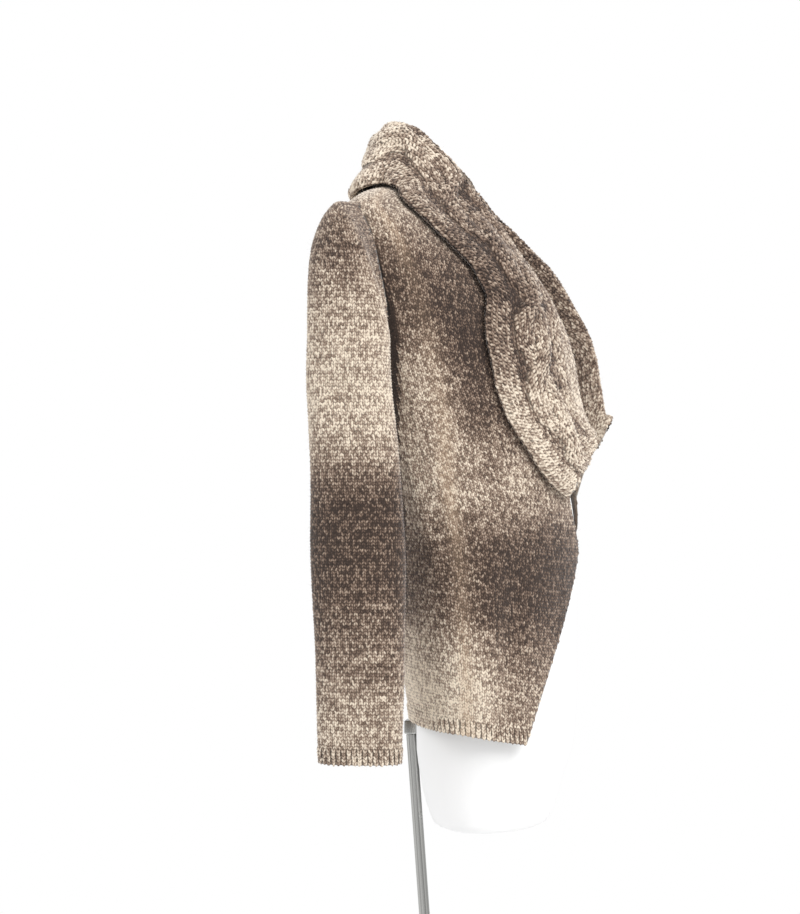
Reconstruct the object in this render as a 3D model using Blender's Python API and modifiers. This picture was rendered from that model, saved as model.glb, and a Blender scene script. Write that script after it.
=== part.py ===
"""An open-fronted chunky cardigan with a wide cable-knit shawl collar, worn by a limbless dress form
on a rod stand.

Metres, +Z up. The origin is the middle of the base's underside, on the floor. The front of the
garment looks along -Y, so the wearer's right is -X and the left is +X.

Angles on the body are in degrees from the front, positive towards the wearer's left: the right side
seam is near -90, the centre back is -180 and the left side seam is near -270, or 90.
"""
from collections import namedtuple
from math import asin, cos, degrees, pi, radians, sin, tan

import bmesh
import bpy
import numpy as np

OBJECT_NAME = "cardigan"

# Driving dimensions.
HEM = 0.905                 # nominal height of the hem
SHOULDER = 1.500            # height of the neck seam
UNDERARM = 1.330            # the foot of the armhole
SHOULDER_TIP = 1.472        # the top of the armhole
COLLAR_FOOT = 1.160         # where the collar ends on the front edge
RIB_HEIGHT = 0.018
RIB_PITCH = 0.0055
RIB_END = 0.004             # the height over which the ribs fade out
RIB_RELIEF = 0.0013
RIB_TROUGH = 0.0003         # how far the grooves sink into the cloth
WALL = 0.0035               # knitted panels
COLLAR_WALL = 0.0050        # the thick cable knit
SEAM_GAP = 0.0003
FORM_GAP = 0.0022           # from the form to the cloth that hangs on its shoulders
CUFF = 0.886                # height of the right cuff
SLEEVE_TOP = 1.350          # where the sleeve hangs straight
RIGHT = -1
LEFT = 1

# The hem's line, and the seams' and the armhole's places in degrees from the front.
HEM_RISE = 0.0075           # at the sides, above the nominal height
HEM_FRONT_DIP = 0.0230
HEM_BACK_RISE = 0.0065
HEM_LEVEL = 1.050           # above this height the rows lie level
SIDE_SEAM = 90.0
SEAM_BACKWARDS = 15.0       # how far the side seam runs back on its way up to the armhole
SEAM_BEND = 1.105           # the height where it begins to
TIP_SEAM = 97.0             # the shoulder seam at its outer end, and at the neck
NECK_SEAM = 90.0
ARMHOLE_FORWARD = 9.0       # the armhole's half widths
ARMHOLE_BACKWARD = 26.0
ARMHOLE_ROUNDNESS = 0.6
WIDEST_EDGE = 0.9985        # of the half width

# Sections of the hanging body: half width, and how far its front, side and back lie along Y.
Section = namedtuple("Section", "height half_width front side back")
BODY = (
    Section(0.905, 0.172, -0.126, -0.012, 0.060),
    Section(0.960, 0.174, -0.127, -0.011, 0.067),
    Section(1.020, 0.172, -0.128, -0.008, 0.076),
    Section(1.100, 0.168, -0.130, 0.000, 0.088),
    Section(1.200, 0.172, -0.124, 0.020, 0.104),
    Section(1.300, 0.178, -0.116, 0.045, 0.118),
    Section(1.360, 0.181, -0.095, 0.060, 0.126),
    Section(1.400, 0.183, -0.070, 0.072, 0.130),
    Section(1.440, 0.184, -0.020, 0.082, 0.132),
    Section(1.460, 0.182, 0.008, 0.090, 0.132),
    Section(1.475, 0.170, 0.030, 0.095, 0.128),
    Section(1.487, 0.138, 0.038, 0.088, 0.119),
    Section(1.495, 0.104, 0.041, 0.080, 0.112),
    Section(1.500, 0.075, 0.040, 0.072, 0.106),
)
FORM = (
    Section(0.8000, 0.110, -0.083, -0.020, 0.030),
    Section(0.8030, 0.116, -0.089, -0.020, 0.037),
    Section(0.8500, 0.131, -0.104, -0.021, 0.051),
    Section(0.8880, 0.142, -0.116, -0.022, 0.0557),
    Section(0.9100, 0.145, -0.118, -0.022, 0.0557),
    Section(0.9440, 0.149, -0.120, -0.022, 0.0500),
    Section(1.0200, 0.146, -0.120, -0.020, 0.053),
    Section(1.1100, 0.128, -0.120, -0.012, 0.060),
    Section(1.2000, 0.134, -0.109, 0.010, 0.082),
    Section(1.3000, 0.150, -0.102, 0.030, 0.101),
    Section(1.3600, 0.162, -0.082, 0.050, 0.114),
    Section(1.4000, 0.170, -0.056, 0.066, 0.121),
)
FORM_BETWEEN_ROWS = (0.827, 0.869, 0.985, 1.060, 1.155, 1.250, 1.335)
FORM_SHOULDER_ROWS = (1.430, 1.450, 1.464, 1.475, 1.484, 1.491)    # these follow the cloth
FORM_DROP = 0.0031          # and lie this far under it
NECK = (
    Section(1.4960, 0.050, 0.034, 0.060, 0.088),
    Section(1.5080, 0.041, 0.024, 0.056, 0.086),
    Section(1.5400, 0.037, 0.019, 0.050, 0.080),
    Section(1.5480, 0.033, 0.021, 0.049, 0.076),
)

# The free front edge: how far it stands from the middle at each height, and how much more on the left.
FrontEdge = namedtuple("FrontEdge", "height from_middle left_more")
FRONT_EDGE = (
    FrontEdge(0.905, 0.1420, 0.0010),
    FrontEdge(0.920, 0.1380, 0.0020),
    FrontEdge(0.942, 0.1310, 0.0050),
    FrontEdge(0.962, 0.1230, 0.0080),
    FrontEdge(0.995, 0.1060, 0.0130),
    FrontEdge(1.030, 0.0840, 0.0220),
    FrontEdge(1.070, 0.0600, 0.0330),
    FrontEdge(1.105, 0.0450, 0.0370),
    FrontEdge(1.130, 0.0540, 0.0120),
    FrontEdge(1.160, 0.0640, 0.0000),
    FrontEdge(1.220, 0.0710, 0.0000),
    FrontEdge(1.350, 0.0800, 0.0000),
    FrontEdge(1.420, 0.0850, 0.0000),
    FrontEdge(1.460, 0.0850, 0.0000),
    FrontEdge(1.475, 0.0830, 0.0000),
    FrontEdge(1.490, 0.0790, 0.0000),
    FrontEdge(1.500, 0.0746, 0.0000),
)

# Soft folds: a ridge (or a trough, where the depth is negative) of rounded section on the body.
Fold = namedtuple("Fold", "angle height lean half_angle half_height depth")
FOLDS = (
    Fold(-78.0, 1.020, 26.0, 8.0, 0.110, 0.0040),
    Fold(-64.0, 1.010, 60.0, 7.0, 0.080, -0.0035),
    Fold(-108.0, 1.180, -60.0, 8.0, 0.110, 0.0040),
    Fold(-70.0, 1.240, 40.0, 9.0, 0.060, -0.0030),
    Fold(-150.0, 1.080, 20.0, 10.0, 0.150, 0.0045),
    Fold(-172.0, 1.050, -15.0, 8.0, 0.130, -0.0035),
    Fold(-196.0, 1.090, -25.0, 10.0, 0.140, 0.0045),
    Fold(-226.0, 1.060, 10.0, 9.0, 0.130, 0.0040),
    Fold(-256.0, 1.170, 60.0, 8.0, 0.100, -0.0030),
    Fold(82.0, 1.030, -30.0, 8.0, 0.120, 0.0040),
    Fold(66.0, 1.000, -50.0, 7.0, 0.080, -0.0035),
)

# Sections of the right sleeve; the left one is its mirror image, swung a little forward.
SleeveSection = namedtuple("SleeveSection", "height out middle half_x half_y")
SLEEVE = (
    SleeveSection(0.886, 0.2120, 0.0918, 0.0215, 0.0412),
    SleeveSection(0.905, 0.2125, 0.0920, 0.0230, 0.0427),
    SleeveSection(1.000, 0.2135, 0.0921, 0.0235, 0.0449),
    SleeveSection(1.100, 0.2140, 0.0935, 0.0240, 0.0480),
    SleeveSection(1.210, 0.2140, 0.0977, 0.0240, 0.0447),
    SleeveSection(1.300, 0.2140, 0.1040, 0.0240, 0.0425),
    SleeveSection(1.350, 0.2130, 0.1035, 0.0240, 0.0412),
)
LEFT_SWING = 0.058          # how far forward the left cuff hangs
LEFT_SHORTER = 0.965        # the left sleeve is pushed up a little
SQUARENESS = 0.87           # a hanging section is a little squarer than an oval
CAP_FULLNESS = 1.6          # how high the sleeve head stands
LEAVE_REACH = 1.5           # how far it goes on the way it leaves the armhole
LEAVE_RISE = 0.3
LEAVE_INWARD = 0.5          # how far the cap first goes on in line with the body's cloth
LEAVE_BACKWARDS = 0.25      # the fullness of the sleeve head at the back
LEAVE_UPWARDS = 0.5         # and at the top
LEAVE_SMOOTHING = 3
UNDERARM_DROP = 0.045       # the inner side of a hanging section is lower than its outer side
SLEEVE_LEVEL = 1.100        # below this height the sections hang level
SleeveFold = namedtuple("SleeveFold", "turn height slant half_turn half_height depth")
SLEEVE_FOLDS = (
    SleeveFold(0.44, 1.300, 0.5, 0.10, 0.030, 0.0040),
    SleeveFold(0.60, 1.240, -0.6, 0.10, 0.025, 0.0030),
    SleeveFold(0.40, 1.150, 0.4, 0.12, 0.030, -0.0025),
    SleeveFold(0.55, 1.060, -0.5, 0.12, 0.030, 0.0030),
    SleeveFold(0.35, 0.980, 0.4, 0.10, 0.030, 0.0030),
    SleeveFold(0.85, 1.120, 0.4, 0.10, 0.035, 0.0020),
)

# The collar, from the centre back (along 0) to its foot on the front edge (along 1): the roll where
# it turns over, and the place on the body under its free edge.
CollarSection = namedtuple("CollarSection", "along roll_x roll_y roll_z edge_angle edge_height puff")
COLLAR = (
    CollarSection(0.000, 0.000, 0.088, 1.569, 180.0, 1.4870, -0.002),
    CollarSection(0.080, 0.037, 0.081, 1.571, 138.0, 1.4890, -0.001),
    CollarSection(0.160, 0.061, 0.053, 1.565, 94.0, 1.4955, 0.001),
    CollarSection(0.209, 0.070, 0.023, 1.537, 74.0, 1.4920, 0.000),
    CollarSection(0.259, 0.073, -0.001, 1.508, 60.0, 1.4860, -0.002),
    CollarSection(0.308, 0.073, -0.020, 1.481, 53.5, 1.4660, -0.003),
    CollarSection(0.358, 0.069, -0.041, 1.455, 53.0, 1.4460, 0.000),
    CollarSection(0.407, 0.066, -0.059, 1.427, 52.0, 1.4240, 0.006),
    CollarSection(0.456, 0.062, -0.077, 1.400, 50.5, 1.4040, 0.010),
    CollarSection(0.530, 0.057, -0.096, 1.367, 51.0, 1.3780, 0.013),
    CollarSection(0.605, 0.054, -0.112, 1.336, 55.5, 1.3500, 0.014),
    CollarSection(0.679, 0.051, -0.120, 1.307, 58.0, 1.3200, 0.014),
    CollarSection(0.753, 0.049, -0.124, 1.280, 58.0, 1.2870, 0.014),
    CollarSection(0.827, 0.047, -0.129, 1.257, 56.0, 1.2520, 0.013),
    CollarSection(0.901, 0.045, -0.136, 1.239, 49.0, 1.2150, 0.010),
    CollarSection(0.960, 0.044, -0.141, 1.230, 38.5, 1.1780, 0.006),
    CollarSection(1.000, 0.044, -0.142, 1.227, 29.0, 1.1630, 0.002),
)
NECK_SHARE = 0.16           # where "along" turns from the back neck on to the front edge
BACK_NECK_SHARE = 0.153     # and the part of it that the back neck takes
LEFT_ROLL_FORWARD = 0.020   # the left roll stands further out from the chest
LEFT_FOOT_BACK = 0.006      # less so at its foot
LEFT_FOOT_RAISE = 0.020     # which turns up higher
FOOT_PULL = 0.005           # the collar's foot hollows towards the chest
EDGE_LIFT = 0.0095          # the free edge, clear of the panel under it
ROLL_RADIUS = 0.0082
ROLL_DEPTH = 0.0098         # from the top of the roll down to where its sides begin
CHEST_RADIUS = 0.180        # the roll's place on the chest is read as on a circle
FALL_TOP = 1.470            # the fall leaves the body as it does at this height, or lower
FALL_LIFT = 0.003           # how far the fall bows out everywhere, besides its puff
STAND_HOLLOW = 0.002
CABLE_MIDDLE = 0.055        # all measured from the free edge
CABLE_SWING = 0.0125
CABLE_STRAND = 0.0135       # half of one strand's width
CABLE_STEP = 0.075          # from one crossing to the next
CABLE_RELIEF = 0.0050
CABLE_UNDER = 0.56          # height of the strand that passes under, as a part of the other's
BORDER_WIDTH = 0.027
BORDER_RELIEF = 0.0018
BORDER_HALF = 0.0113        # half of its raised width
BEAD_MIDDLE = 0.0977        # the second border, at the roll
BEAD_HALF = 0.0108

# The stand.
BASE_RADIUS = 0.150
BASE_THICKNESS = 0.008
BASE_BEVEL = 0.003
BASE_STEPS = 48
BOSS_RADIUS = 0.014
BOSS_HEIGHT = 0.026
BOSS_BEVEL = 0.001
ROD_RADIUS = 0.006
ROD_TILT = 4.15             # degrees, the top towards the back
SOCKET_BOTTOM = 0.896
SOCKET_SIZE = (0.022, 0.014, 0.015)
SOCKET_BEVEL = 0.0015
CONTACT_GAP = 0.0004

# How finely each surface is divided.
BACK_COLUMNS = 20
FRONT_COLUMNS = 12
ARMHOLE_ROWS = 9
FORM_COLUMNS = 32
LOW_HEIGHTS = (0.945, 0.968, 0.995, 1.028, 1.062, 1.095, 1.128)
CHEST_HEIGHTS = (1.160, 1.190, 1.220, 1.250, 1.280, 1.305)
TOP_HEIGHTS = (1.483, 1.488, 1.493, 1.497, 1.500)
SLEEVE_HEIGHTS = (1.350, 1.305, 1.262, 1.222, 1.182, 1.142, 1.102, 1.062, 1.022, 0.982, 0.945)
CAP_ROWS = 7
SECTION_COLUMNS = (2, 1, 2, 2, 6, 7)    # the collar, between its control points
INNER_COLUMNS = (0, 2, 3, 5, 7, 10, 13, 16, 20)    # those that its plain inside keeps

COLOURS = {
    "knit": ((0.30, 0.22, 0.17, 1.0), 0.95, 0.0),
    "cable_knit": ((0.38, 0.30, 0.23, 1.0), 0.95, 0.0),
    "form": ((0.86, 0.86, 0.85, 1.0), 0.55, 0.0),
    "steel": ((0.62, 0.62, 0.60, 1.0), 0.22, 1.0),
}


def column(table, name):
    """One named column of a table, as an array."""
    place = table[0]._fields.index(name)
    return np.array([row[place] for row in table], float)


def smooth(table, name, at):
    """A named column read at any value of the first one, along a curve that never overshoots."""
    knots = column(table, table[0]._fields[0])
    values = column(table, name)
    slope = np.diff(values) / np.diff(knots)
    before, after = slope[:-1], slope[1:]
    same = before * after > 0
    middle = np.where(same, 2 * before * after / np.where(same, before + after, 1.0), 0.0)
    tangent = np.concatenate(([slope[0]], middle, [slope[-1]]))
    at = np.clip(np.asarray(at, float), knots[0], knots[-1])
    place = np.clip(np.searchsorted(knots, at, side="right") - 1, 0, len(knots) - 2)
    width = knots[place + 1] - knots[place]
    t = (at - knots[place]) / width
    return (values[place] * (1 + 2 * t) * (1 - t) ** 2 + values[place + 1] * t * t * (3 - 2 * t)
            + width * (tangent[place] * t * (1 - t) ** 2 + tangent[place + 1] * t * t * (t - 1)))


def unit(vectors):
    return vectors / np.linalg.norm(vectors, axis=-1, keepdims=True)


def ramp(low, high, value):
    """0 below low, 1 above high and a soft step between."""
    t = np.clip((value - low) / (high - low), 0.0, 1.0)
    return t * t * (3 - 2 * t)


# ---------------------------------------------------------------- the body's surface

def section_points(table, angle, height, z, swell=0.0):
    """Points of a table's oval section, moved out by swell."""
    turn = np.radians(angle)
    half = smooth(table, "half_width", height)
    side = smooth(table, "side", height)
    depth = np.where(np.cos(turn) > 0, side - smooth(table, "front", height),
                     smooth(table, "back", height) - side)
    across, forward = np.sin(turn), -np.cos(turn)
    out = unit(np.stack([across / half, forward / depth], -1)) * np.expand_dims(swell, -1)
    return np.stack([half * across + out[..., 0], side + depth * forward + out[..., 1], z], -1)


def fold_depth(angle, height):
    total = np.zeros(np.shape(angle))
    for fold in FOLDS:
        middle = fold.angle + fold.lean * (height - fold.height)
        turned = (angle - middle + 180.0) % 360.0 - 180.0
        total = total + fold.depth * np.exp(-(turned / fold.half_angle) ** 2
                                            - ((height - fold.height) / fold.half_height) ** 2)
    return total


def body(angle, height):
    """The middle of the body's cloth. The hem dips at the front and rises at the back."""
    angle, height = np.broadcast_arrays(np.asarray(angle, float), np.asarray(height, float))
    forward = np.cos(np.radians(angle))
    rise = HEM_RISE - np.where(forward > 0, HEM_FRONT_DIP, HEM_BACK_RISE) * forward
    z = height + rise * np.clip((HEM_LEVEL - height) / (HEM_LEVEL - HEM), 0.0, 1.0)
    return section_points(BODY, angle, height, z, fold_depth(angle, height))


def surface_normal(surface, u, v, step_u, step_v):
    """Outward normals of a surface that is given as a function."""
    along_u = surface(u + step_u, v) - surface(u - step_u, v)
    along_v = surface(u, v + step_v) - surface(u, v - step_v)
    return unit(np.cross(along_u, along_v))


def body_normal(angle, height):
    low = np.clip(np.asarray(height, float), HEM + 0.0006, SHOULDER - 0.0006)
    return surface_normal(body, np.asarray(angle, float), low, 0.5, 0.0005)


def armhole_width(height):
    """0 at the armhole's two ends and 1 at its middle."""
    t = np.clip((height - UNDERARM) / (SHOULDER_TIP - UNDERARM), 0.0, 1.0)
    return np.sin(pi * t) ** ARMHOLE_ROUNDNESS if 0.0 < t < 1.0 else 0.0


def seam_angle(height):
    """The side seam, the armhole's middle and the shoulder seam, in degrees from the front."""
    if height <= UNDERARM:
        return SIDE_SEAM + SEAM_BACKWARDS * float(ramp(SEAM_BEND, UNDERARM, height))
    if height <= SHOULDER_TIP:
        up = (height - UNDERARM) / (SHOULDER_TIP - UNDERARM)
        return (SIDE_SEAM + SEAM_BACKWARDS) * (1 - up) + TIP_SEAM * up
    up = (height - SHOULDER_TIP) / (SHOULDER - SHOULDER_TIP)
    return TIP_SEAM * (1 - up) + NECK_SEAM * up


def front_side_angle(height):
    return seam_angle(height) - ARMHOLE_FORWARD * armhole_width(height)


def back_side_angle(height):
    return seam_angle(height) + ARMHOLE_BACKWARD * armhole_width(height)


def front_edge_angle(height, side):
    from_middle = smooth(FRONT_EDGE, "from_middle", height)
    if side == LEFT:
        from_middle += smooth(FRONT_EDGE, "left_more", height)
    share = from_middle / smooth(BODY, "half_width", height)
    return degrees(asin(min(float(share), WIDEST_EDGE)))


def inset(angle, height, amount):
    """An angle moved along the cloth by an amount in metres."""
    step = np.linalg.norm(body(angle + 0.5, height) - body(angle - 0.5, height))
    return angle + amount / step


def is_armhole(height):
    return UNDERARM < height < SHOULDER_TIP


# ---------------------------------------------------------------- meshes

def bridge(mesh, first, second):
    """Triangles between two lines of vertices, which may have different counts."""
    if len(first) == len(second):
        for a, b, c, d in zip(first, first[1:], second[1:], second):
            mesh.faces.new((a, b, d))
            mesh.faces.new((b, c, d))
        return

    def shares(line):
        places = np.array([vertex.co for vertex in line])
        length = np.concatenate(([0.0], np.cumsum(np.linalg.norm(np.diff(places, axis=0), axis=1))))
        return length / length[-1]

    share_first, share_second = shares(first), shares(second)
    i = j = 0
    while i < len(first) - 1 or j < len(second) - 1:
        next_first = share_first[i + 1] if i < len(first) - 1 else 2.0
        next_second = share_second[j + 1] if j < len(second) - 1 else 2.0
        if next_first <= next_second + 1e-6:
            mesh.faces.new((first[i], first[i + 1], second[j]))
            i += 1
        else:
            mesh.faces.new((first[i], second[j + 1], second[j]))
            j += 1


def wall_object(name, outer, inner, material, closed=False):
    """A closed wall between outer and inner rows of points. A closed wall is a tube."""
    mesh = bmesh.new()
    sides = []
    for rows in (outer, inner):
        lines = [[mesh.verts.new(point) for point in row] for row in rows]
        if closed:
            lines = [line + line[:1] for line in lines]
        for lower, upper in zip(lines, lines[1:]):
            bridge(mesh, lower, upper)
        sides.append(lines)
    for end in (0, -1):
        bridge(mesh, sides[0][end], sides[1][end])
        if not closed:
            bridge(mesh, [line[end] for line in sides[0]], [line[end] for line in sides[1]])
    return finish_mesh(name, mesh, material)


def finish_mesh(name, mesh, material):
    bmesh.ops.recalc_face_normals(mesh, faces=mesh.faces[:])
    data = bpy.data.meshes.new(name)
    mesh.to_mesh(data)
    mesh.free()
    if data.polygons and signed_volume(data) < 0:
        data.flip_normals()
    thing = bpy.data.objects.new(name, data)
    return dress(thing, material)


def signed_volume(data):
    points = np.array([vertex.co for vertex in data.vertices])
    total = 0.0
    for polygon in data.polygons:
        corners = points[list(polygon.vertices)]
        for second, third in zip(corners[1:], corners[2:]):
            total += np.dot(corners[0], np.cross(second, third)) / 6.0
    return total


def dress(thing, material):
    """Put an object in the part's collection with its material, shaded smooth."""
    if thing.name not in PARTS.objects:
        PARTS.objects.link(thing)
    thing.data.materials.clear()
    thing.data.materials.append(MATERIALS[material])
    if thing.type == "MESH":
        thing.data.shade_smooth()
        thing.data.set_sharp_from_angle(angle=radians(40.0))
    return thing


def rib_pattern(count):
    """Relief of a row of ribs: troughs and crests in turn, low at both ends."""
    crest = np.arange(count + 1) % 2
    return RIB_RELIEF * crest - RIB_TROUGH


# ---------------------------------------------------------------- body panels

def panel_rows(angles_at, heights, columns, rib_columns):
    """Outer and inner rows of a body panel, with a band of ribs at the hem."""
    outer, inner = [], []
    for height in heights:
        start, end = angles_at(height)
        count = rib_columns if height < HEM + RIB_HEIGHT + 1e-6 else columns
        angle = np.linspace(start, end, count + 1)
        relief = rib_pattern(count) if count == rib_columns else np.zeros(count + 1)
        middle = body(angle, height)
        outer.append(middle + body_normal(angle, height) * np.expand_dims(WALL / 2 + relief, -1))
        plain = np.linspace(start, end, (rib_columns // 2 if height == HEM else columns) + 1)
        inner.append(body(plain, height) - body_normal(plain, height) * WALL / 2)
    return outer, inner


def body_heights():
    armhole = [UNDERARM + (SHOULDER_TIP - UNDERARM) * k / ARMHOLE_ROWS for k in range(ARMHOLE_ROWS + 1)]
    return [HEM, HEM + RIB_HEIGHT, HEM + RIB_HEIGHT + RIB_END, *LOW_HEIGHTS, *CHEST_HEIGHTS, *armhole, *TOP_HEIGHTS]


def seam_inset(height):
    return 0.0 if is_armhole(height) else SEAM_GAP / 2


def front_angles(side, height):
    start = front_side_angle(height)
    start = inset(start, height, -seam_inset(height))
    return side * start, side * front_edge_angle(height, side)


def back_angles(height):
    start = inset(back_side_angle(height), height, seam_inset(height))
    return -start, start - 360.0


def rib_count(start, end):
    """An even number of columns, two to a rib."""
    angle = np.linspace(start, end, 40)
    length = np.linalg.norm(np.diff(body(angle, HEM), axis=0), axis=1).sum()
    return 2 * round(length / RIB_PITCH)


def make_back():
    start, end = back_angles(HEM)
    rows = panel_rows(back_angles, body_heights(), BACK_COLUMNS, rib_count(start, end))
    return wall_object("back_panel", *rows, "knit")


def make_front(name, side):
    start, end = front_angles(side, HEM)
    rows = panel_rows(lambda height: front_angles(side, height), body_heights(), FRONT_COLUMNS,
                      rib_count(start, end))
    return wall_object(name, *rows, "knit")


# ---------------------------------------------------------------- sleeves

def armhole_loop(side, turn):
    """The armhole's edge: up the front from the underarm, then down the back."""
    up = turn * 2 if turn <= 0.5 else (1.0 - turn) * 2
    height = UNDERARM + (SHOULDER_TIP - UNDERARM) * up
    angle = front_side_angle(height) if turn <= 0.5 else back_side_angle(height)
    return side * angle, height


def sleeve_ring(side, turn, height):
    """A hanging section of the sleeve. Turn 0 faces the body, 0.25 the front and 0.5 outwards."""
    a = 2 * pi * turn
    across, forward = np.cos(a), np.sin(a)
    across = np.sign(across) * np.abs(across) ** SQUARENESS
    forward = np.sign(forward) * np.abs(forward) ** SQUARENESS
    swell = np.zeros(np.shape(turn))
    for fold in SLEEVE_FOLDS:
        middle = fold.height + fold.slant * (turn - fold.turn) * 0.1
        swell = swell + fold.depth * np.exp(-((turn - fold.turn) / fold.half_turn) ** 2
                                            - ((height - middle) / fold.half_height) ** 2)
    drop = UNDERARM_DROP * (1 + np.cos(a)) / 2
    height = height - drop * np.clip((height - SLEEVE_LEVEL) / (SLEEVE_TOP - SLEEVE_LEVEL), 0.0, 1.0)
    down = SLEEVE_TOP - height
    swing = LEFT_SWING * ramp(0.0, 0.45, down) if side == LEFT else 0.0
    z = SLEEVE_TOP - down * (LEFT_SHORTER if side == LEFT else 1.0)
    half_x = smooth(SLEEVE, "half_x", height) + swell
    half_y = smooth(SLEEVE, "half_y", height) + swell
    x = side * (smooth(SLEEVE, "out", height) - half_x * across)
    y = smooth(SLEEVE, "middle", height) - half_y * forward - swing
    return np.stack([x, y, z + np.zeros(np.shape(turn))], -1)


def sleeve_cap(start, end, leave, turns, share):
    """Points from the armhole's edge, out and then down to the first hanging section."""
    reach = np.linalg.norm(end - start, axis=-1, keepdims=True)
    full = np.clip(-np.sin(2 * pi * turns), 0.0, 1.0) + np.clip(-np.cos(2 * pi * turns), 0.0, 1.0)
    leave = leave * reach * LEAVE_REACH
    arrive = np.array([0.0, 0.0, -1.0]) * reach * (1.0 + CAP_FULLNESS * np.expand_dims(full, -1))
    t = share
    return (start * (1 + 2 * t) * (1 - t) ** 2 + end * t * t * (3 - 2 * t)
            + leave * t * (1 - t) ** 2 + arrive * t * t * (t - 1))


def ring_normals(rows, side):
    """Outward normals of a grid of tube rows."""
    grid = np.array(rows)
    around = np.roll(grid, -1, axis=1) - np.roll(grid, 1, axis=1)
    down = np.gradient(grid, axis=0)
    return unit(np.cross(around, down)) * -side


def make_sleeve(name, side):
    columns = 2 * ARMHOLE_ROWS
    turns = np.arange(columns) / columns
    loop = [armhole_loop(side, turn) for turn in turns]
    edge = np.array([body(angle, height) for angle, height in loop])
    edge_normal = np.array([body_normal(angle, height) for angle, height in loop])
    centre = edge.mean(axis=0)
    inward = centre - edge
    inward = unit(inward - edge_normal * np.sum(inward * edge_normal, axis=1, keepdims=True))
    edge = edge + inward * SEAM_GAP
    first = sleeve_ring(side, turns, SLEEVE_TOP)
    at_back = np.clip(-np.sin(2 * pi * turns), 0.0, 1.0)[:, None] * np.array([0.0, LEAVE_BACKWARDS, 0.0])
    at_top = np.clip(-np.cos(2 * pi * turns), 0.0, 1.0)[:, None] * np.array([0.0, 0.0, LEAVE_UPWARDS])
    leave = unit(edge_normal * np.array([1.0, 1.0, LEAVE_RISE]) + LEAVE_INWARD * inward + at_back + at_top)
    for _ in range(LEAVE_SMOOTHING):
        leave = unit(np.roll(leave, 1, axis=0) + 2 * leave + np.roll(leave, -1, axis=0))
    rows = [sleeve_cap(edge, first, leave, turns, k / CAP_ROWS) for k in range(CAP_ROWS)]
    rows += [sleeve_ring(side, turns, height) for height in SLEEVE_HEIGHTS]
    rows.append(sleeve_ring(side, turns, CUFF + RIB_HEIGHT + RIB_END))
    normals = ring_normals(rows, side)
    normals[0] = edge_normal
    outer = [row + normal * WALL / 2 for row, normal in zip(rows, normals)]
    inner = [row - normal * WALL / 2 for row, normal in zip(rows, normals)]
    around = np.linalg.norm(np.diff(sleeve_ring(side, turns, CUFF), axis=0), axis=1).sum()
    ribs = 2 * round(around / RIB_PITCH)
    fine = np.arange(ribs) / ribs
    fine_rows = [sleeve_ring(side, fine, height) for height in (CUFF + RIB_HEIGHT, CUFF)]
    fine_normals = ring_normals(fine_rows, side)
    relief = np.expand_dims(WALL / 2 + rib_pattern(ribs)[:-1], -1)
    outer += [row + normal * relief for row, normal in zip(fine_rows, fine_normals)]
    inner.append((fine_rows[1] - fine_normals[1] * WALL / 2)[::2])
    return wall_object(name, outer, inner, "knit", closed=True)


# ---------------------------------------------------------------- collar

def collar_edge(side):
    """The neck seam from the centre back to the collar's foot: along, angle and height."""
    seam = []
    start, end = back_angles(SHOULDER)
    for k in range(BACK_COLUMNS // 2, -1, -1):
        angle = start + (end - start) * k / BACK_COLUMNS
        seam.append((BACK_NECK_SHARE * (180.0 + angle) / 90.0, side * -angle, SHOULDER))
    heights = [height for height in body_heights() if height >= COLLAR_FOOT - 1e-6]
    for height in reversed(heights):
        along = NECK_SHARE + (1.0 - NECK_SHARE) * (SHOULDER - height) / (SHOULDER - COLLAR_FOOT)
        seam.append((along, side * front_edge_angle(height, side), height))
    seam[0] = (0.0, side * 180.0, SHOULDER)
    return seam


def spline(points, at):
    """A curve through the points, read at lengths along it, and its knots."""
    length = np.concatenate(([0.0], np.cumsum(np.linalg.norm(np.diff(points, axis=0), axis=1))))
    slope = np.diff(points, axis=0) / np.diff(length)[:, None]
    width = np.diff(length)[:, None]
    middle = (slope[:-1] * width[1:] + slope[1:] * width[:-1]) / (width[1:] + width[:-1])
    tangent = np.vstack([slope[:1], middle, slope[-1:]])
    at = at(length)
    place = np.clip(np.searchsorted(length, at, side="right") - 1, 0, len(length) - 2)
    t = ((at - length[place]) / np.diff(length)[place])[:, None]
    return (points[place] * (1 + 2 * t) * (1 - t) ** 2 + points[place + 1] * t * t * (3 - 2 * t)
            + width[place] * (tangent[place] * t * (1 - t) ** 2 + tangent[place + 1] * t * t * (t - 1)))


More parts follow.
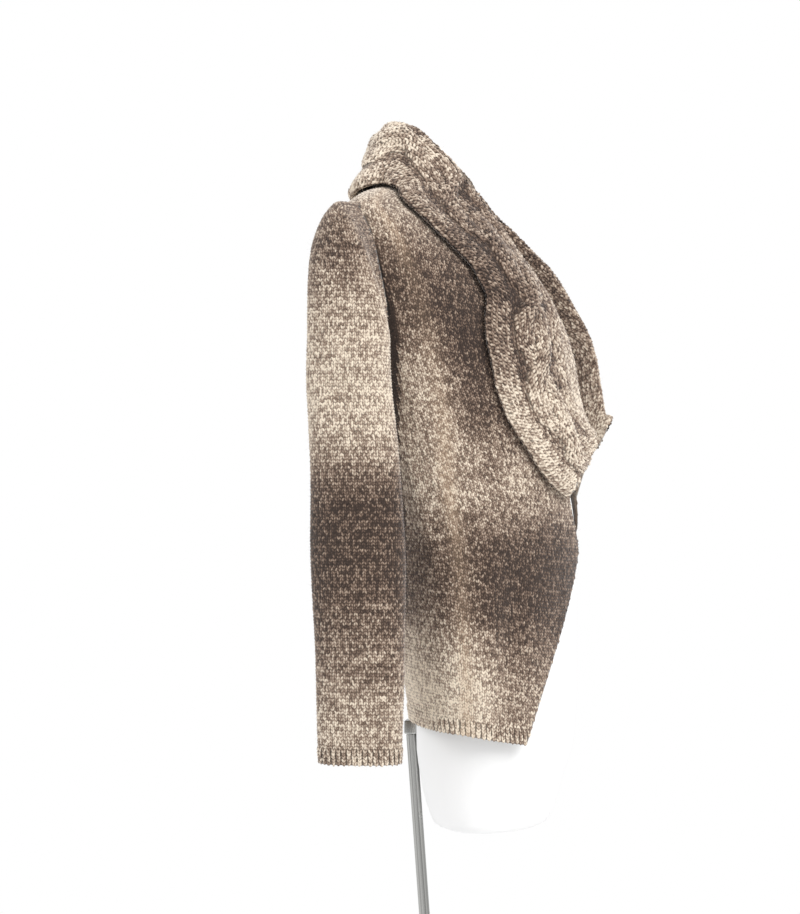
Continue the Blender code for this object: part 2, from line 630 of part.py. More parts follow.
def collar_controls(side, along, sewn):
    """From the sewn edge up the stand, over the roll and down the fall to the free edge."""
    roll = np.array([side * float(smooth(COLLAR, "roll_x", along)),
                     float(smooth(COLLAR, "roll_y", along)),
                     float(smooth(COLLAR, "roll_z", along))])
    if side == LEFT:
        roll[1] -= LEFT_ROLL_FORWARD * float(ramp(0.30, 0.45, along))
        roll[1] += LEFT_FOOT_BACK * float(ramp(0.78, 0.95, along))
        roll[2] += LEFT_FOOT_RAISE * float(ramp(0.80, 1.0, along))
    angle = side * float(smooth(COLLAR, "edge_angle", along))
    height = float(smooth(COLLAR, "edge_height", along))
    if side == LEFT:
        height += 1.5 * LEFT_FOOT_RAISE * float(ramp(0.85, 1.0, along))
    edge = body(angle, height) + body_normal(angle, height) * EDGE_LIFT
    roll_angle = side * degrees(asin(min(abs(roll[0]) / CHEST_RADIUS, 1.0))) if along > 0.3 else angle
    middle_angle = (angle + roll_angle) / 2
    middle_height = min((height + roll[2]) / 2, FALL_TOP)
    out = body_normal(middle_angle, middle_height)
    middle = (roll + edge) / 2 + out * (float(smooth(COLLAR, "puff", along)) + FALL_LIFT)
    up = unit(roll - (sewn + middle) / 2)
    sideways = middle - sewn
    sideways = unit(sideways - up * np.dot(sideways, up))
    before = roll - up * ROLL_DEPTH - sideways * ROLL_RADIUS
    after = roll - up * ROLL_DEPTH + sideways * ROLL_RADIUS
    stand = (sewn + before) / 2 - sideways * STAND_HOLLOW
    stand[1] += FOOT_PULL * float(ramp(0.80, 1.0, along))
    return np.array([sewn, stand, before, roll, after, middle, edge])


def section_places(length):
    """Where the collar's columns stand between its control points."""
    places = [0.0]
    for k, count in enumerate(SECTION_COLUMNS):
        places += [length[k] + (length[k + 1] - length[k]) * (i + 1) / count for i in range(count)]
    return np.array(places)


def cable_relief(from_edge, run):
    """Height of the collar's pattern: a border, a groove, a rope cable and a second border."""
    border = np.exp(-((from_edge - BORDER_WIDTH / 2) / BORDER_HALF) ** 4) * BORDER_RELIEF
    turn = pi * run / CABLE_STEP
    total = border
    for sign in (1, -1):
        middle = CABLE_MIDDLE + sign * CABLE_SWING * np.cos(turn)
        over = 1 - (1 - CABLE_UNDER) * (1 - np.clip(sign * np.sin(turn) * 2, -1, 1)) / 2
        round_top = np.sqrt(np.clip(1 - ((from_edge - middle) / CABLE_STRAND) ** 2, 0, 1))
        total = np.maximum(total, CABLE_RELIEF * over * round_top)
    bead = np.exp(-((from_edge - BEAD_MIDDLE) / BEAD_HALF) ** 4) * BORDER_RELIEF
    return np.maximum(total, bead)


def make_collar(name, side):
    seam = collar_edge(side)
    stations = []
    for k, (along, angle, height) in enumerate(seam):
        stations.append((along, body(angle, height), body_normal(angle, height), True))
        if k + 1 < len(seam) and height < UNDERARM - 1e-6 and along > NECK_SHARE:
            after = seam[k + 1]
            stations.append(((along + after[0]) / 2,
                             (body(angle, height) + body(after[1], after[2])) / 2,
                             unit(body_normal(angle, height) + body_normal(after[1], after[2])), False))
    edges = np.array([station[1] for station in stations])
    flow = np.gradient(edges, axis=0)
    grid, sewn_normals = [], []
    for (along, sewn, normal, _), direction in zip(stations, flow):
        into_neck = unit(np.cross(direction, normal)) * side
        sewn = sewn + into_neck * SEAM_GAP
        if along == 0.0:
            sewn[0] = side * SEAM_GAP / 2
        grid.append(spline(collar_controls(side, along, sewn), section_places))
        sewn_normals.append(-normal)
    grid = np.array(grid)
    grid[0, :, 0] = side * SEAM_GAP / 2
    normals = unit(np.cross(np.gradient(grid, axis=0), np.gradient(grid, axis=1))) * side
    normals[:, 0] = sewn_normals
    normals[0, :, 0] = 0.0
    normals = unit(normals)
    fall = grid[:, -SECTION_COLUMNS[-1] - 1]
    run = np.concatenate(([0.0], np.cumsum(np.linalg.norm(np.diff(fall, axis=0), axis=1))))
    across = np.linalg.norm(np.diff(grid, axis=1), axis=2)
    from_edge = np.hstack([np.cumsum(across[:, ::-1], axis=1)[:, ::-1], np.zeros((len(grid), 1))])
    relief = cable_relief(from_edge, run[:, None])
    relief[:, -1] = 0.0
    half = np.full(grid.shape[:2], COLLAR_WALL / 2)
    half[:, 0] = WALL / 2
    outer = grid + normals * (half + relief)[..., None]
    plain_rows = [k for k, station in enumerate(stations) if station[3]]
    inner = (grid - normals * half[..., None])[np.ix_(plain_rows, INNER_COLUMNS)]
    return wall_object(name, list(outer), list(inner), "cable_knit")


# ---------------------------------------------------------------- form and stand

def form_rows():
    angle = np.arange(FORM_COLUMNS) * 360.0 / FORM_COLUMNS
    rows = []
    for height in sorted([row.height for row in FORM] + list(FORM_BETWEEN_ROWS)):
        rows.append(section_points(FORM, angle, height, np.full(FORM_COLUMNS, height)))
    shrink = WALL / 2 + FORM_GAP
    for height in FORM_SHOULDER_ROWS:
        rows.append(section_points(BODY, angle, height, np.full(FORM_COLUMNS, height - FORM_DROP),
                                   np.full(FORM_COLUMNS, -shrink)))
    for row in NECK:
        rows.append(section_points(NECK, angle, row.height, np.full(FORM_COLUMNS, row.height)))
    return rows


def make_form():
    mesh = bmesh.new()
    lines = [[mesh.verts.new(point) for point in row] for row in form_rows()]
    lines = [line + line[:1] for line in lines]
    for lower, upper in zip(lines, lines[1:]):
        bridge(mesh, lower, upper)
    for line in (lines[0], lines[-1]):
        mesh.faces.new(line[:-1])
    bmesh.ops.triangulate(mesh, faces=[face for face in mesh.faces if len(face.verts) > 3])
    return finish_mesh("dress_form", mesh, "form")


def make_base():
    """A round plate with a boss for the rod, turned from its half section."""
    round_off = BASE_BEVEL * (1 - cos(radians(45.0)))
    profile = [(0.0, BOSS_HEIGHT), (BOSS_RADIUS - BOSS_BEVEL, BOSS_HEIGHT), (BOSS_RADIUS, BOSS_HEIGHT - BOSS_BEVEL),
               (BOSS_RADIUS, BASE_THICKNESS), (BASE_RADIUS - BASE_BEVEL, BASE_THICKNESS),
               (BASE_RADIUS - round_off, BASE_THICKNESS - round_off),
               (BASE_RADIUS, BASE_THICKNESS - BASE_BEVEL), (BASE_RADIUS, 0.0), (0.0, 0.0)]
    data = bpy.data.meshes.new("stand_base")
    edges = [(k, k + 1) for k in range(len(profile) - 1)]
    data.from_pydata([(x, 0.0, z) for x, z in profile], edges, [])
    thing = bpy.data.objects.new("stand_base", data)
    screw = thing.modifiers.new("turn", "SCREW")
    screw.axis = "Z"
    screw.angle = radians(360.0)
    screw.steps = screw.render_steps = BASE_STEPS
    screw.use_merge_vertices = True
    screw.merge_threshold = 0.0001
    return dress(thing, "steel")


def rod_offset(height):
    """How far behind the base's middle the leaning rod is at a height."""
    return (height - BOSS_HEIGHT) * tan(radians(ROD_TILT))


def make_rod():
    foot = BOSS_HEIGHT + CONTACT_GAP + ROD_RADIUS * sin(radians(ROD_TILT))
    head = SOCKET_BOTTOM - CONTACT_GAP - ROD_RADIUS * sin(radians(ROD_TILT))
    curve = bpy.data.curves.new("stand_rod", "CURVE")
    curve.dimensions = "3D"
    curve.bevel_depth = ROD_RADIUS
    curve.bevel_resolution = 4
    curve.use_fill_caps = True
    line = curve.splines.new("POLY")
    line.points.add(1)
    for point, height in zip(line.points, (foot, head)):
        point.co = (0.0, rod_offset(height), height, 1.0)
    rod = bpy.data.objects.new("stand_rod", curve)
    return dress(rod, "steel")


def make_socket():
    """The block on the form's back that the rod's head enters from below."""
    width, depth, height = SOCKET_SIZE
    form_back = max(float(smooth(FORM, "back", SOCKET_BOTTOM + rise)) for rise in (0.0, height))
    middle = (0.0, form_back + CONTACT_GAP + depth / 2, SOCKET_BOTTOM + height / 2)
    bpy.ops.mesh.primitive_cube_add(size=1.0, location=middle)
    block = bpy.context.object
    block.name = block.data.name = "stand_socket"
    block.scale = (width, depth, height)
    bpy.ops.object.transform_apply(location=False, rotation=False, scale=True)
    for collection in list(block.users_collection):
        collection.objects.unlink(block)
    bevel = block.modifiers.new("rounded edges", "BEVEL")
    bevel.width = SOCKET_BEVEL
    bevel.segments = 3
    return dress(block, "steel")


def clear_scene():
    for thing in list(bpy.data.objects):
        bpy.data.objects.remove(thing, do_unlink=True)


def make_materials():
    made = {}
    for name, (colour, roughness, metallic) in COLOURS.items():
        material = bpy.data.materials.new(name)
        material.use_nodes = True
        shader = material.node_tree.nodes["Principled BSDF"]
        shader.inputs["Base Color"].default_value = colour
        shader.inputs["Roughness"].default_value = roughness
        shader.inputs["Metallic"].default_value = metallic
        made[name] = material
    return made


clear_scene()
PARTS = bpy.data.collections.new(OBJECT_NAME)
bpy.context.scene.collection.children.link(PARTS)
MATERIALS = make_materials()
make_back()
make_front("front_right", RIGHT)
make_front("front_left", LEFT)
make_sleeve("sleeve_right", RIGHT)
make_sleeve("sleeve_left", LEFT)
make_collar("collar_right", RIGHT)
make_collar("collar_left", LEFT)
make_form()
make_socket()
make_rod()
make_base()
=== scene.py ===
"""Looks of an open-fronted, chunky marl cardigan on a limbless dress form with a rod stand.

Metres, +Z up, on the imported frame. The front of the garment looks along -Y and the wearer's right is
-X. Angles on the body are in degrees from the front, positive towards the wearer's left.

Each piece of cloth is a thin shell that carries its stitches. Every leg of every stitch is a small
raised scale that Geometry Nodes grow on a point, and the points are laid in wales and rows.
"""
from collections import namedtuple
from math import asin, cos, degrees, pi, radians, sin, tan

import bmesh
import bpy
import numpy as np
from bpy.props import FloatProperty, FloatVectorProperty, IntProperty, PointerProperty
from bpy.types import Operator, Panel, PropertyGroup
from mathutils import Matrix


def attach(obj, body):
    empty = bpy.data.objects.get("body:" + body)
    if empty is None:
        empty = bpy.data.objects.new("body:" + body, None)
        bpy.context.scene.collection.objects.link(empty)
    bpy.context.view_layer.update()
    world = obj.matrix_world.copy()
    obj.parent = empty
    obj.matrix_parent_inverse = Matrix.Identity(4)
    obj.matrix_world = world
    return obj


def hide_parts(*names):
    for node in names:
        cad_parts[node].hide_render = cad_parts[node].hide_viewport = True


bl_info = {
    "name": "Shawl-collared cardigan",
    "version": (1, 0, 0),
    "blender": (4, 5, 0),
    "location": "View3D > Sidebar > Cardigan",
    "description": "Knitted cloth, dress form, stand and studio for the cardigan",
    "category": "Object",
}

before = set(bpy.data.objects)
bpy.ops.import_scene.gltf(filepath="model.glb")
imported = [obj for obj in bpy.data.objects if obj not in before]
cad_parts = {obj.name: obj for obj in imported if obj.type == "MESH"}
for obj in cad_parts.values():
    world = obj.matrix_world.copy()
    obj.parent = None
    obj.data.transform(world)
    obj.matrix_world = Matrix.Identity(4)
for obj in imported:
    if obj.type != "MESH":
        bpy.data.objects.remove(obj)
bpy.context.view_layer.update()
BODY_NAME = "root"
RIGHT = -1
LEFT = 1
OVAL = "height half_width front side back"      # columns of a table of oval sections


def make_table(columns, *rows):
    """A short table with named columns."""
    row = namedtuple("Row", columns)
    return tuple(row(*values) for values in rows)


# ---------------------------------------------------------------- sizes that the solids share

HEM = 0.905
SHOULDER = 1.500
UNDERARM = 1.330
SHOULDER_TIP = 1.472
COLLAR_FOOT = 1.160
RIB_HEIGHT = 0.018
RIB_PITCH = 0.0055
WALL = 0.0035
COLLAR_WALL = 0.0050
SEAM_GAP = 0.0003
FORM_GAP = 0.0022
CUFF = 0.886
SLEEVE_TOP = 1.350
HEM_RISE = 0.0075
HEM_FRONT_DIP = 0.0230
HEM_BACK_RISE = 0.0065
HEM_LEVEL = 1.050
SIDE_SEAM = 90.0
SEAM_BACKWARDS = 15.0
SEAM_BEND = 1.105
TIP_SEAM = 97.0
NECK_SEAM = 90.0
ARMHOLE_FORWARD = 9.0
ARMHOLE_BACKWARD = 26.0
ARMHOLE_ROUNDNESS = 0.6
WIDEST_EDGE = 0.9985

BODY = make_table(
    OVAL,
    (0.905, 0.172, -0.126, -0.012, 0.060),
    (0.960, 0.174, -0.127, -0.011, 0.067),
    (1.020, 0.172, -0.128, -0.008, 0.076),
    (1.100, 0.168, -0.130, 0.000, 0.088),
    (1.200, 0.172, -0.124, 0.020, 0.104),
    (1.300, 0.178, -0.116, 0.045, 0.118),
    (1.360, 0.181, -0.095, 0.060, 0.126),
    (1.400, 0.183, -0.070, 0.072, 0.130),
    (1.440, 0.184, -0.020, 0.082, 0.132),
    (1.460, 0.182, 0.008, 0.090, 0.132),
    (1.475, 0.170, 0.030, 0.095, 0.128),
    (1.487, 0.138, 0.038, 0.088, 0.119),
    (1.495, 0.104, 0.041, 0.080, 0.112),
    (1.500, 0.075, 0.040, 0.072, 0.106),
)
FORM = make_table(
    OVAL,
    (0.8000, 0.110, -0.083, -0.020, 0.030),
    (0.8030, 0.116, -0.089, -0.020, 0.037),
    (0.8500, 0.131, -0.104, -0.021, 0.051),
    (0.8880, 0.142, -0.116, -0.022, 0.0557),
    (0.9100, 0.145, -0.118, -0.022, 0.0557),
    (0.9440, 0.149, -0.120, -0.022, 0.0500),
    (1.0200, 0.146, -0.120, -0.020, 0.053),
    (1.1100, 0.128, -0.120, -0.012, 0.060),
    (1.2000, 0.134, -0.109, 0.010, 0.082),
    (1.3000, 0.150, -0.102, 0.030, 0.101),
    (1.3600, 0.162, -0.082, 0.050, 0.114),
    (1.4000, 0.170, -0.056, 0.066, 0.121),
)
FORM_SHOULDERS = (1.430, 1.491)
FORM_DROP = 0.0031
NECK = make_table(
    OVAL,
    (1.4960, 0.050, 0.034, 0.060, 0.088),
    (1.5080, 0.041, 0.024, 0.056, 0.086),
    (1.5400, 0.037, 0.019, 0.050, 0.080),
    (1.5480, 0.033, 0.021, 0.049, 0.076),
)
FRONT_EDGE = make_table(
    "height from_middle left_more",
    (0.905, 0.1420, 0.0010),
    (0.920, 0.1380, 0.0020),
    (0.942, 0.1310, 0.0050),
    (0.962, 0.1230, 0.0080),
    (0.995, 0.1060, 0.0130),
    (1.030, 0.0840, 0.0220),
    (1.070, 0.0600, 0.0330),
    (1.105, 0.0450, 0.0370),
    (1.130, 0.0540, 0.0120),
    (1.160, 0.0640, 0.0000),
    (1.220, 0.0710, 0.0000),
    (1.350, 0.0800, 0.0000),
    (1.420, 0.0850, 0.0000),
    (1.460, 0.0850, 0.0000),
    (1.475, 0.0830, 0.0000),
    (1.490, 0.0790, 0.0000),
    (1.500, 0.0746, 0.0000),
)
FOLDS = make_table(
    "angle height lean half_angle half_height depth",
    (-78.0, 1.020, 26.0, 8.0, 0.110, 0.0040),
    (-64.0, 1.010, 60.0, 7.0, 0.080, -0.0035),
    (-108.0, 1.180, -60.0, 8.0, 0.110, 0.0040),
    (-70.0, 1.240, 40.0, 9.0, 0.060, -0.0030),
    (-150.0, 1.080, 20.0, 10.0, 0.150, 0.0045),
    (-172.0, 1.050, -15.0, 8.0, 0.130, -0.0035),
    (-196.0, 1.090, -25.0, 10.0, 0.140, 0.0045),
    (-226.0, 1.060, 10.0, 9.0, 0.130, 0.0040),
    (-256.0, 1.170, 60.0, 8.0, 0.100, -0.0030),
    (82.0, 1.030, -30.0, 8.0, 0.120, 0.0040),
    (66.0, 1.000, -50.0, 7.0, 0.080, -0.0035),
)
SLEEVE = make_table(
    "height out middle half_x half_y",
    (0.886, 0.2120, 0.0918, 0.0215, 0.0412),
    (0.905, 0.2125, 0.0920, 0.0230, 0.0427),
    (1.000, 0.2135, 0.0921, 0.0235, 0.0449),
    (1.100, 0.2140, 0.0935, 0.0240, 0.0480),
    (1.210, 0.2140, 0.0977, 0.0240, 0.0447),
    (1.300, 0.2140, 0.1040, 0.0240, 0.0425),
    (1.350, 0.2130, 0.1035, 0.0240, 0.0412),
)
LEFT_SWING = 0.058
SWING_LENGTH = 0.45
SLANT_SCALE = 0.1
LEFT_SHORTER = 0.965
SQUARENESS = 0.87
CAP_FULLNESS = 1.6
LEAVE_REACH = 1.5
LEAVE_RISE = 0.3
LEAVE_INWARD = 0.5
LEAVE_BACKWARDS = 0.25
LEAVE_UPWARDS = 0.5
LEAVE_SMOOTHING = 3
ARMHOLE_POINTS = 18         # the sleeve head's directions are worked out at this many places
UNDERARM_DROP = 0.045
SLEEVE_LEVEL = 1.100
SLEEVE_FOLDS = make_table(
    "turn height slant half_turn half_height depth",
    (0.44, 1.300, 0.5, 0.10, 0.030, 0.0040),
    (0.60, 1.240, -0.6, 0.10, 0.025, 0.0030),
    (0.40, 1.150, 0.4, 0.12, 0.030, -0.0025),
    (0.55, 1.060, -0.5, 0.12, 0.030, 0.0030),
    (0.35, 0.980, 0.4, 0.10, 0.030, 0.0030),
    (0.85, 1.120, 0.4, 0.10, 0.035, 0.0020),
)
COLLAR = make_table(
    "along roll_x roll_y roll_z edge_angle edge_height puff",
    (0.000, 0.000, 0.088, 1.569, 180.0, 1.4870, -0.002),
    (0.080, 0.037, 0.081, 1.571, 138.0, 1.4890, -0.001),
    (0.160, 0.061, 0.053, 1.565, 94.0, 1.4955, 0.001),
    (0.209, 0.070, 0.023, 1.537, 74.0, 1.4920, 0.000),
    (0.259, 0.073, -0.001, 1.508, 60.0, 1.4860, -0.002),
    (0.308, 0.073, -0.020, 1.481, 53.5, 1.4660, -0.003),
    (0.358, 0.069, -0.041, 1.455, 53.0, 1.4460, 0.000),
    (0.407, 0.066, -0.059, 1.427, 52.0, 1.4240, 0.006),
    (0.456, 0.062, -0.077, 1.400, 50.5, 1.4040, 0.010),
    (0.530, 0.057, -0.096, 1.367, 51.0, 1.3780, 0.013),
    (0.605, 0.054, -0.112, 1.336, 55.5, 1.3500, 0.014),
    (0.679, 0.051, -0.120, 1.307, 58.0, 1.3200, 0.014),
    (0.753, 0.049, -0.124, 1.280, 58.0, 1.2870, 0.014),
    (0.827, 0.047, -0.129, 1.257, 56.0, 1.2520, 0.013),
    (0.901, 0.045, -0.136, 1.239, 49.0, 1.2150, 0.010),
    (0.960, 0.044, -0.141, 1.230, 38.5, 1.1780, 0.006),
    (1.000, 0.044, -0.142, 1.227, 29.0, 1.1630, 0.002),
)
NECK_SHARE = 0.16
BACK_NECK_SHARE = 0.153
LEFT_ROLL_FORWARD = 0.020
LEFT_FOOT_BACK = 0.006
LEFT_FOOT_RAISE = 0.020
LEFT_EDGE_RAISE = 0.030
FOOT_PULL = 0.005
# shares along the collar between which these set in, the pull together with the left foot's raise
ROLL_SETS_IN = (0.30, 0.45)
BACK_SETS_IN = (0.78, 0.95)
FOOT_SETS_IN = (0.80, 1.0)
EDGE_SETS_IN = (0.85, 1.0)
OWN_ANGLE = 0.3             # share from which the roll has an angle of its own
EDGE_LIFT = 0.0095
ROLL_RADIUS = 0.0082
ROLL_DEPTH = 0.0098
CHEST_RADIUS = 0.180
FALL_TOP = 1.470
FALL_LIFT = 0.003
STAND_HOLLOW = 0.002
CABLE_MIDDLE = 0.055
CABLE_SWING = 0.0125
CABLE_STRAND = 0.0135
CABLE_STEP = 0.075
CABLE_RELIEF = 0.0050
CABLE_UNDER = 0.56
BORDER_WIDTH = 0.027
BORDER_RELIEF = 0.0018
BORDER_HALF = 0.0113
BEAD_MIDDLE = 0.0977
BEAD_HALF = 0.0108
BASE_RADIUS = 0.150
BASE_THICKNESS = 0.008
BOSS_RADIUS = 0.014
BOSS_HEIGHT = 0.026
ROD_RADIUS = 0.006
ROD_TILT = 4.15
SOCKET_BOTTOM = 0.896
CONTACT_GAP = 0.0004

# ---------------------------------------------------------------- sizes of the looks alone

SIDES = ((RIGHT, "right"), (LEFT, "left"))
FIELD_ROWS = 240            # of the grids that the body's stitches are laid on
FIELD_COLUMNS = 200
BODY_GRID_SHARE = 0.72      # the share of the body's rows that lie below its shoulders
SHOULDER_ROWS = 1.450       # the height where the closer rows over the shoulders begin
SHELL_STEPS = (8, 6, 6, 6, 26, 32)      # of the collar's curve, from its seam to its free edge
FIELD_STEPS = (12, 10, 8, 8, 40, 44)    # the same where its stitches are laid
CROWDING = 1.5              # power that crowds the curve's last steps at the free edge
EDGE_PLUMP = 0.0012         # the collar's free edge is that much thicker on each side
PLUMP_REACH = (0.018, 0.004)            # distances from the free edge, from no plumpness to all
EDGE_RETURN = 0.009         # how far the collar's stitches go on underneath its free edge
COLLAR_CHUNK = 1.3          # the collar's yarn against the body's
GROOVE_PAINTED_SHADE = 0.34        # painted shade: how much darker the yarn is made down in the collar's grooves
GROOVE_DEPTH = 0.0012       # relief at which a groove ends
PATTERN_START = (0.012, 0.018)          # distances from the free edge, where the grooves begin
CABLE_LEAN = 1.15           # how much more the stitches lean than the strand that they follow
STRAND_STARTS = 0.0002      # relief from which a stitch belongs to a strand
BORDER_LEAN = radians(38.0)             # how far the border's stitches lean
BORDER_LEAN_SHARE = 0.86    # their share of the border's width
STEEPEST = 1.2              # slope at which a stitch's face follows the relief no further
SLOPE_STEP = 0.0005         # the relief's slope is measured over twice this
UNEVEN = 0.10               # how far a leg is off its place, against its wale's width
LEG_ASIDE = 0.25            # from a stitch's middle to its legs, against its wale's width
LEG_SWING = (0.16, 0.16, 0.20)          # how far a leg turns from its place, in radians
LEG_UNEVEN = (0.86, 1.12)   # the least and the most of a leg's full size
HAIR_UNEVEN = (0.35, 1.0)   # and of a hair's
INSIDE = WALL / 2           # from the middle of a cloth to its inner side
GROUND_SINK = 0.0009        # the ground under the stitches, below the cloth's outer side
STITCH_SINK = 0.0010        # the plain stitches' middles, below it too
RIB_STAND = 0.0002          # the rib's stitches, above it
RIB_SHARE = 0.72            # width of the rib's stitches against the rib's pitch
COLLAR_GROUND_SINK = 0.0015
COLLAR_STITCH_SINK = 0.0011
GROUND_RELIEF = 0.9         # the ground's relief against the stitches'
HIGHEST = 10.0              # above every row
SEAM_MARGIN = 0.0015        # how near to the back's edges its stitches may stand
ARMHOLE_MARGIN = 0.0016
FRONT_EDGE_MARGIN = 0.0014
FRONT_SEAM_MARGIN = -0.0006
LAYOUT_MARGIN = 0.01        # round a flat layout, and between a cloth's two sides
LEG_LAYOUT_SCALE = 0.9      # a leg's spot of the layout against its own size
MERGE_DISTANCE = 0.00001    # points of a piece that are nearer to each other become one
SCREW_MERGE = 0.0001        # and of a turned profile
YARN_COLOURS = ("Dark", "Brown", "Taupe", "Cream", "Rubbed")
STREAK_SCALE = (26.0, 190.0, 0.0)       # across the cloth and along it
BLOTCH_SCALE = 22.0
FIBRE_SCALE = 1300.0
FIBRE_ROUGHNESS = 0.7
# how much each of these moves the tone
STREAK_SHARE = 0.8
BLOTCH_SHARE = 0.25
YARN_SHARE = 0.72
FIBRE_SHARE = 1.3
# the leg's painted shade at its rim and painted highlight at its tip
PEAK_LIGHT_AND_SHADE_SHARE = 0.62
NAP_SHARE = 0.12
NAPPED_SHARE = 0.42           # share of the pale band's colour where the nap is full
WOOL = {"Roughness": 0.92, "Specular IOR Level": 0.18, "Sheen Weight": 0.30, "Sheen Roughness": 0.55}
# the tones between which each colour takes over from the one before
YARN_STEPS = ((-0.10, 0.30, "Brown"), (0.30, 0.68, "Taupe"), (0.68, 1.10, "Cream"))
# the form's rows: a rounded foot, the torso, the shoulders, and a neck with a rounded top
TORSO_ROWS = (0.8000, 0.8008, 0.8018, 0.8030, *np.linspace(0.810, 1.415, 44))
NECK_ROWS = (*np.linspace(1.4975, 1.5440, 12), 1.5465, 1.5478, 1.5480)
SHOULDER_COUNT = 16         # rows of its shoulders
FORM_CREASE = radians(50.0)             # faces of the form that meet at more than this stay sharp
STEEL_CREASE = radians(35.0)
BASE_SIDES = 128
ROD_SIDES = 48
BASE_BEVEL = 0.0030
BOSS_BEVEL = 0.0010
FINE_BEVEL = 0.0006
FLOOR_DROP = 0.0005         # how far the floor lies below the base
LAMP_TARGET = (0.0, 0.03, 1.2)
# each lamp's power is a share of the key light's
LAMPS = make_table(
    "name place size share",
    ("key", (-2.2, -1.6, 3.0), 1.8, 1.0),
    ("fill", (2.0, -2.2, 2.2), 2.0, 0.35),
    ("rim", (-0.5, 2.6, 2.6), 1.6, 0.35),
)

# ---------------------------------------------------------------- the dyed bands
# Tone runs from 0, the darkest brown, to 1, the palest cream.

SLEEVE_TONES = make_table(
    "height tone",
    (0.886, 0.73),
    (0.935, 0.70),
    (0.973, 0.53),
    (1.020, 0.35),
    (1.050, 0.22),
    (1.085, 0.07),
    (1.140, 0.02),
    (1.175, 0.25),
    (1.205, 0.60),
    (1.235, 0.80),
    (1.290, 0.84),
    (1.345, 0.72),
    (1.390, 0.52),
    (1.430, 0.32),
    (1.480, 0.46),
)
BODY_TONES = make_table(
    "height front side",
    (0.905, 0.72, 0.90),
    (0.940, 0.62, 1.00),
    (0.975, 0.50, 0.86),
    (1.005, 0.32, 0.74),
    (1.040, 0.06, 0.36),
    (1.075, 0.00, 0.26),
    (1.110, 0.10, 0.30),
    (1.140, 0.44, 0.50),
    (1.175, 0.62, 0.66),
    (1.205, 0.52, 0.68),
    (1.245, 0.26, 0.70),
    (1.285, 0.12, 0.66),
    (1.330, 0.00, 0.44),
    (1.375, 0.04, 0.16),
    (1.410, 0.22, 0.28),
    (1.445, 0.48, 0.56),
    (1.480, 0.64, 0.74),
    (1.500, 0.70, 0.78),
)
COLLAR_TONES = make_table(
    "along edge roll",
    (0.000, 0.88, 0.84),
    (0.120, 0.84, 0.90),
    (0.180, 0.66, 0.76),
    (0.260, 0.52, 0.56),
    (0.320, 0.42, 0.38),
    (0.400, 0.25, 0.42),
    (0.470, 0.12, 0.46),
    (0.530, 0.08, 0.50),
    (0.610, 0.32, 0.62),
    (0.690, 0.42, 0.68),
    (0.760, 0.62, 0.72),
    (0.820, 0.86, 0.86),
    (0.900, 0.86, 0.74),
    (1.000, 0.82, 0.84),
)
LEFT_PAINTED_SHADE = 0.22          # painted shade: the left half of the collar is given darker yarn
# a soft pale band down the side of the body, with more hairs and paler yarn
NAP_LINE = make_table(
    "height angle strength",
    (0.905, 88.0, 0.80),
    (1.000, 88.0, 0.60),
    (1.072, 87.5, 0.35),
    (1.180, 86.0, 0.75),
    (1.242, 82.0, 0.55),
    (1.306, 80.5, 0.25),
    (1.386, 78.5, 0.20),
    (1.440, 77.0, 0.60),
    (1.500, 80.0, 0.60),
)
# painted shade in the crease beside the sleeve, as darker yarn: full at the outer angle, none at the inner
# one
SLEEVE_CREASE_SHADE = make_table(
    "height outer inner",
    (0.905, 158.0, 155.5),
    (0.950, 152.0, 149.5),
    (1.030, 134.5, 132.0),
    (1.100, 127.0, 124.5),
    (1.160, 119.5, 117.0),
    (1.214, 113.5, 110.5),
    (1.268, 106.5, 102.5),
    (1.300, 101.5, 97.0),
    (1.328, 97.0, 92.0),
    (1.358, 94.5, 89.5),
    (1.388, 93.0, 88.5),
    (1.410, 93.0, 90.0),
)
CREASE_SHADE_DEPTH = 1.3
CREASE_SHADE_END = (6.0, 1.0)     # degrees beyond the outer angle, from none of the painted shade to all
CREASE_SHADE_TOP = (1.425, 1.395)             # heights, from none of it to all
CREASE_SHADE_FOOT = (0.990, 1.120)
CREASE_SHADE_FADE = (1.160, 1.260)            # heights, from the weaker lower part to the full one
CREASE_SHADE_WEAKEST = 0.45
NAP_HALF_ANGLE = 3.6
FRONT_TONES = (86.0, 66.0)  # degrees from the front, from none of its tones to all
ROLL_TONES = (0.05, 0.55)   # shares of the collar's width, from the edge's tone to the roll's
LEFT_SHADE_TOP = (0.20, 0.35)            # shares along the collar, where the left half is darker with painted shade
LEFT_SHADE_FOOT = (0.98, 0.82)


# ---------------------------------------------------------------- curves and surfaces

def bend(t, first, second, leave, arrive, width=1.0):
    """A point of the curve from the first to the second, with its directions at both ends."""
    return (first * (1 + 2 * t) * (1 - t) ** 2 + second * t * t * (3 - 2 * t)
            + width * (leave * t * (1 - t) ** 2 + arrive * t * t * (t - 1)))


def column(table, name):
    place = table[0]._fields.index(name)
    return np.array([row[place] for row in table], float)


def smooth(table, name, at):
    """A named column read at any value of the first one, along a curve that never overshoots."""
    knots = column(table, table[0]._fields[0])
    values = column(table, name)
    slope = np.diff(values) / np.diff(knots)
    before, after = slope[:-1], slope[1:]
    same = before * after > 0
    middle = np.where(same, 2 * before * after / np.where(same, before + after, 1.0), 0.0)
    tangent = np.concatenate(([slope[0]], middle, [slope[-1]]))
    at = np.clip(np.asarray(at, float), knots[0], knots[-1])
    place = np.clip(np.searchsorted(knots, at, side="right") - 1, 0, len(knots) - 2)
    width = knots[place + 1] - knots[place]
    t = (at - knots[place]) / width
    return bend(t, values[place], values[place + 1], tangent[place], tangent[place + 1], width)


def unit(vectors):
    return vectors / np.maximum(np.linalg.norm(vectors, axis=-1, keepdims=True), 1e-12)


def ramp(low, high, value):
    """0 at low, 1 at high and a soft step between. Low may be the larger."""
    t = np.clip((value - low) / (high - low), 0.0, 1.0)
    return t * t * (3 - 2 * t)


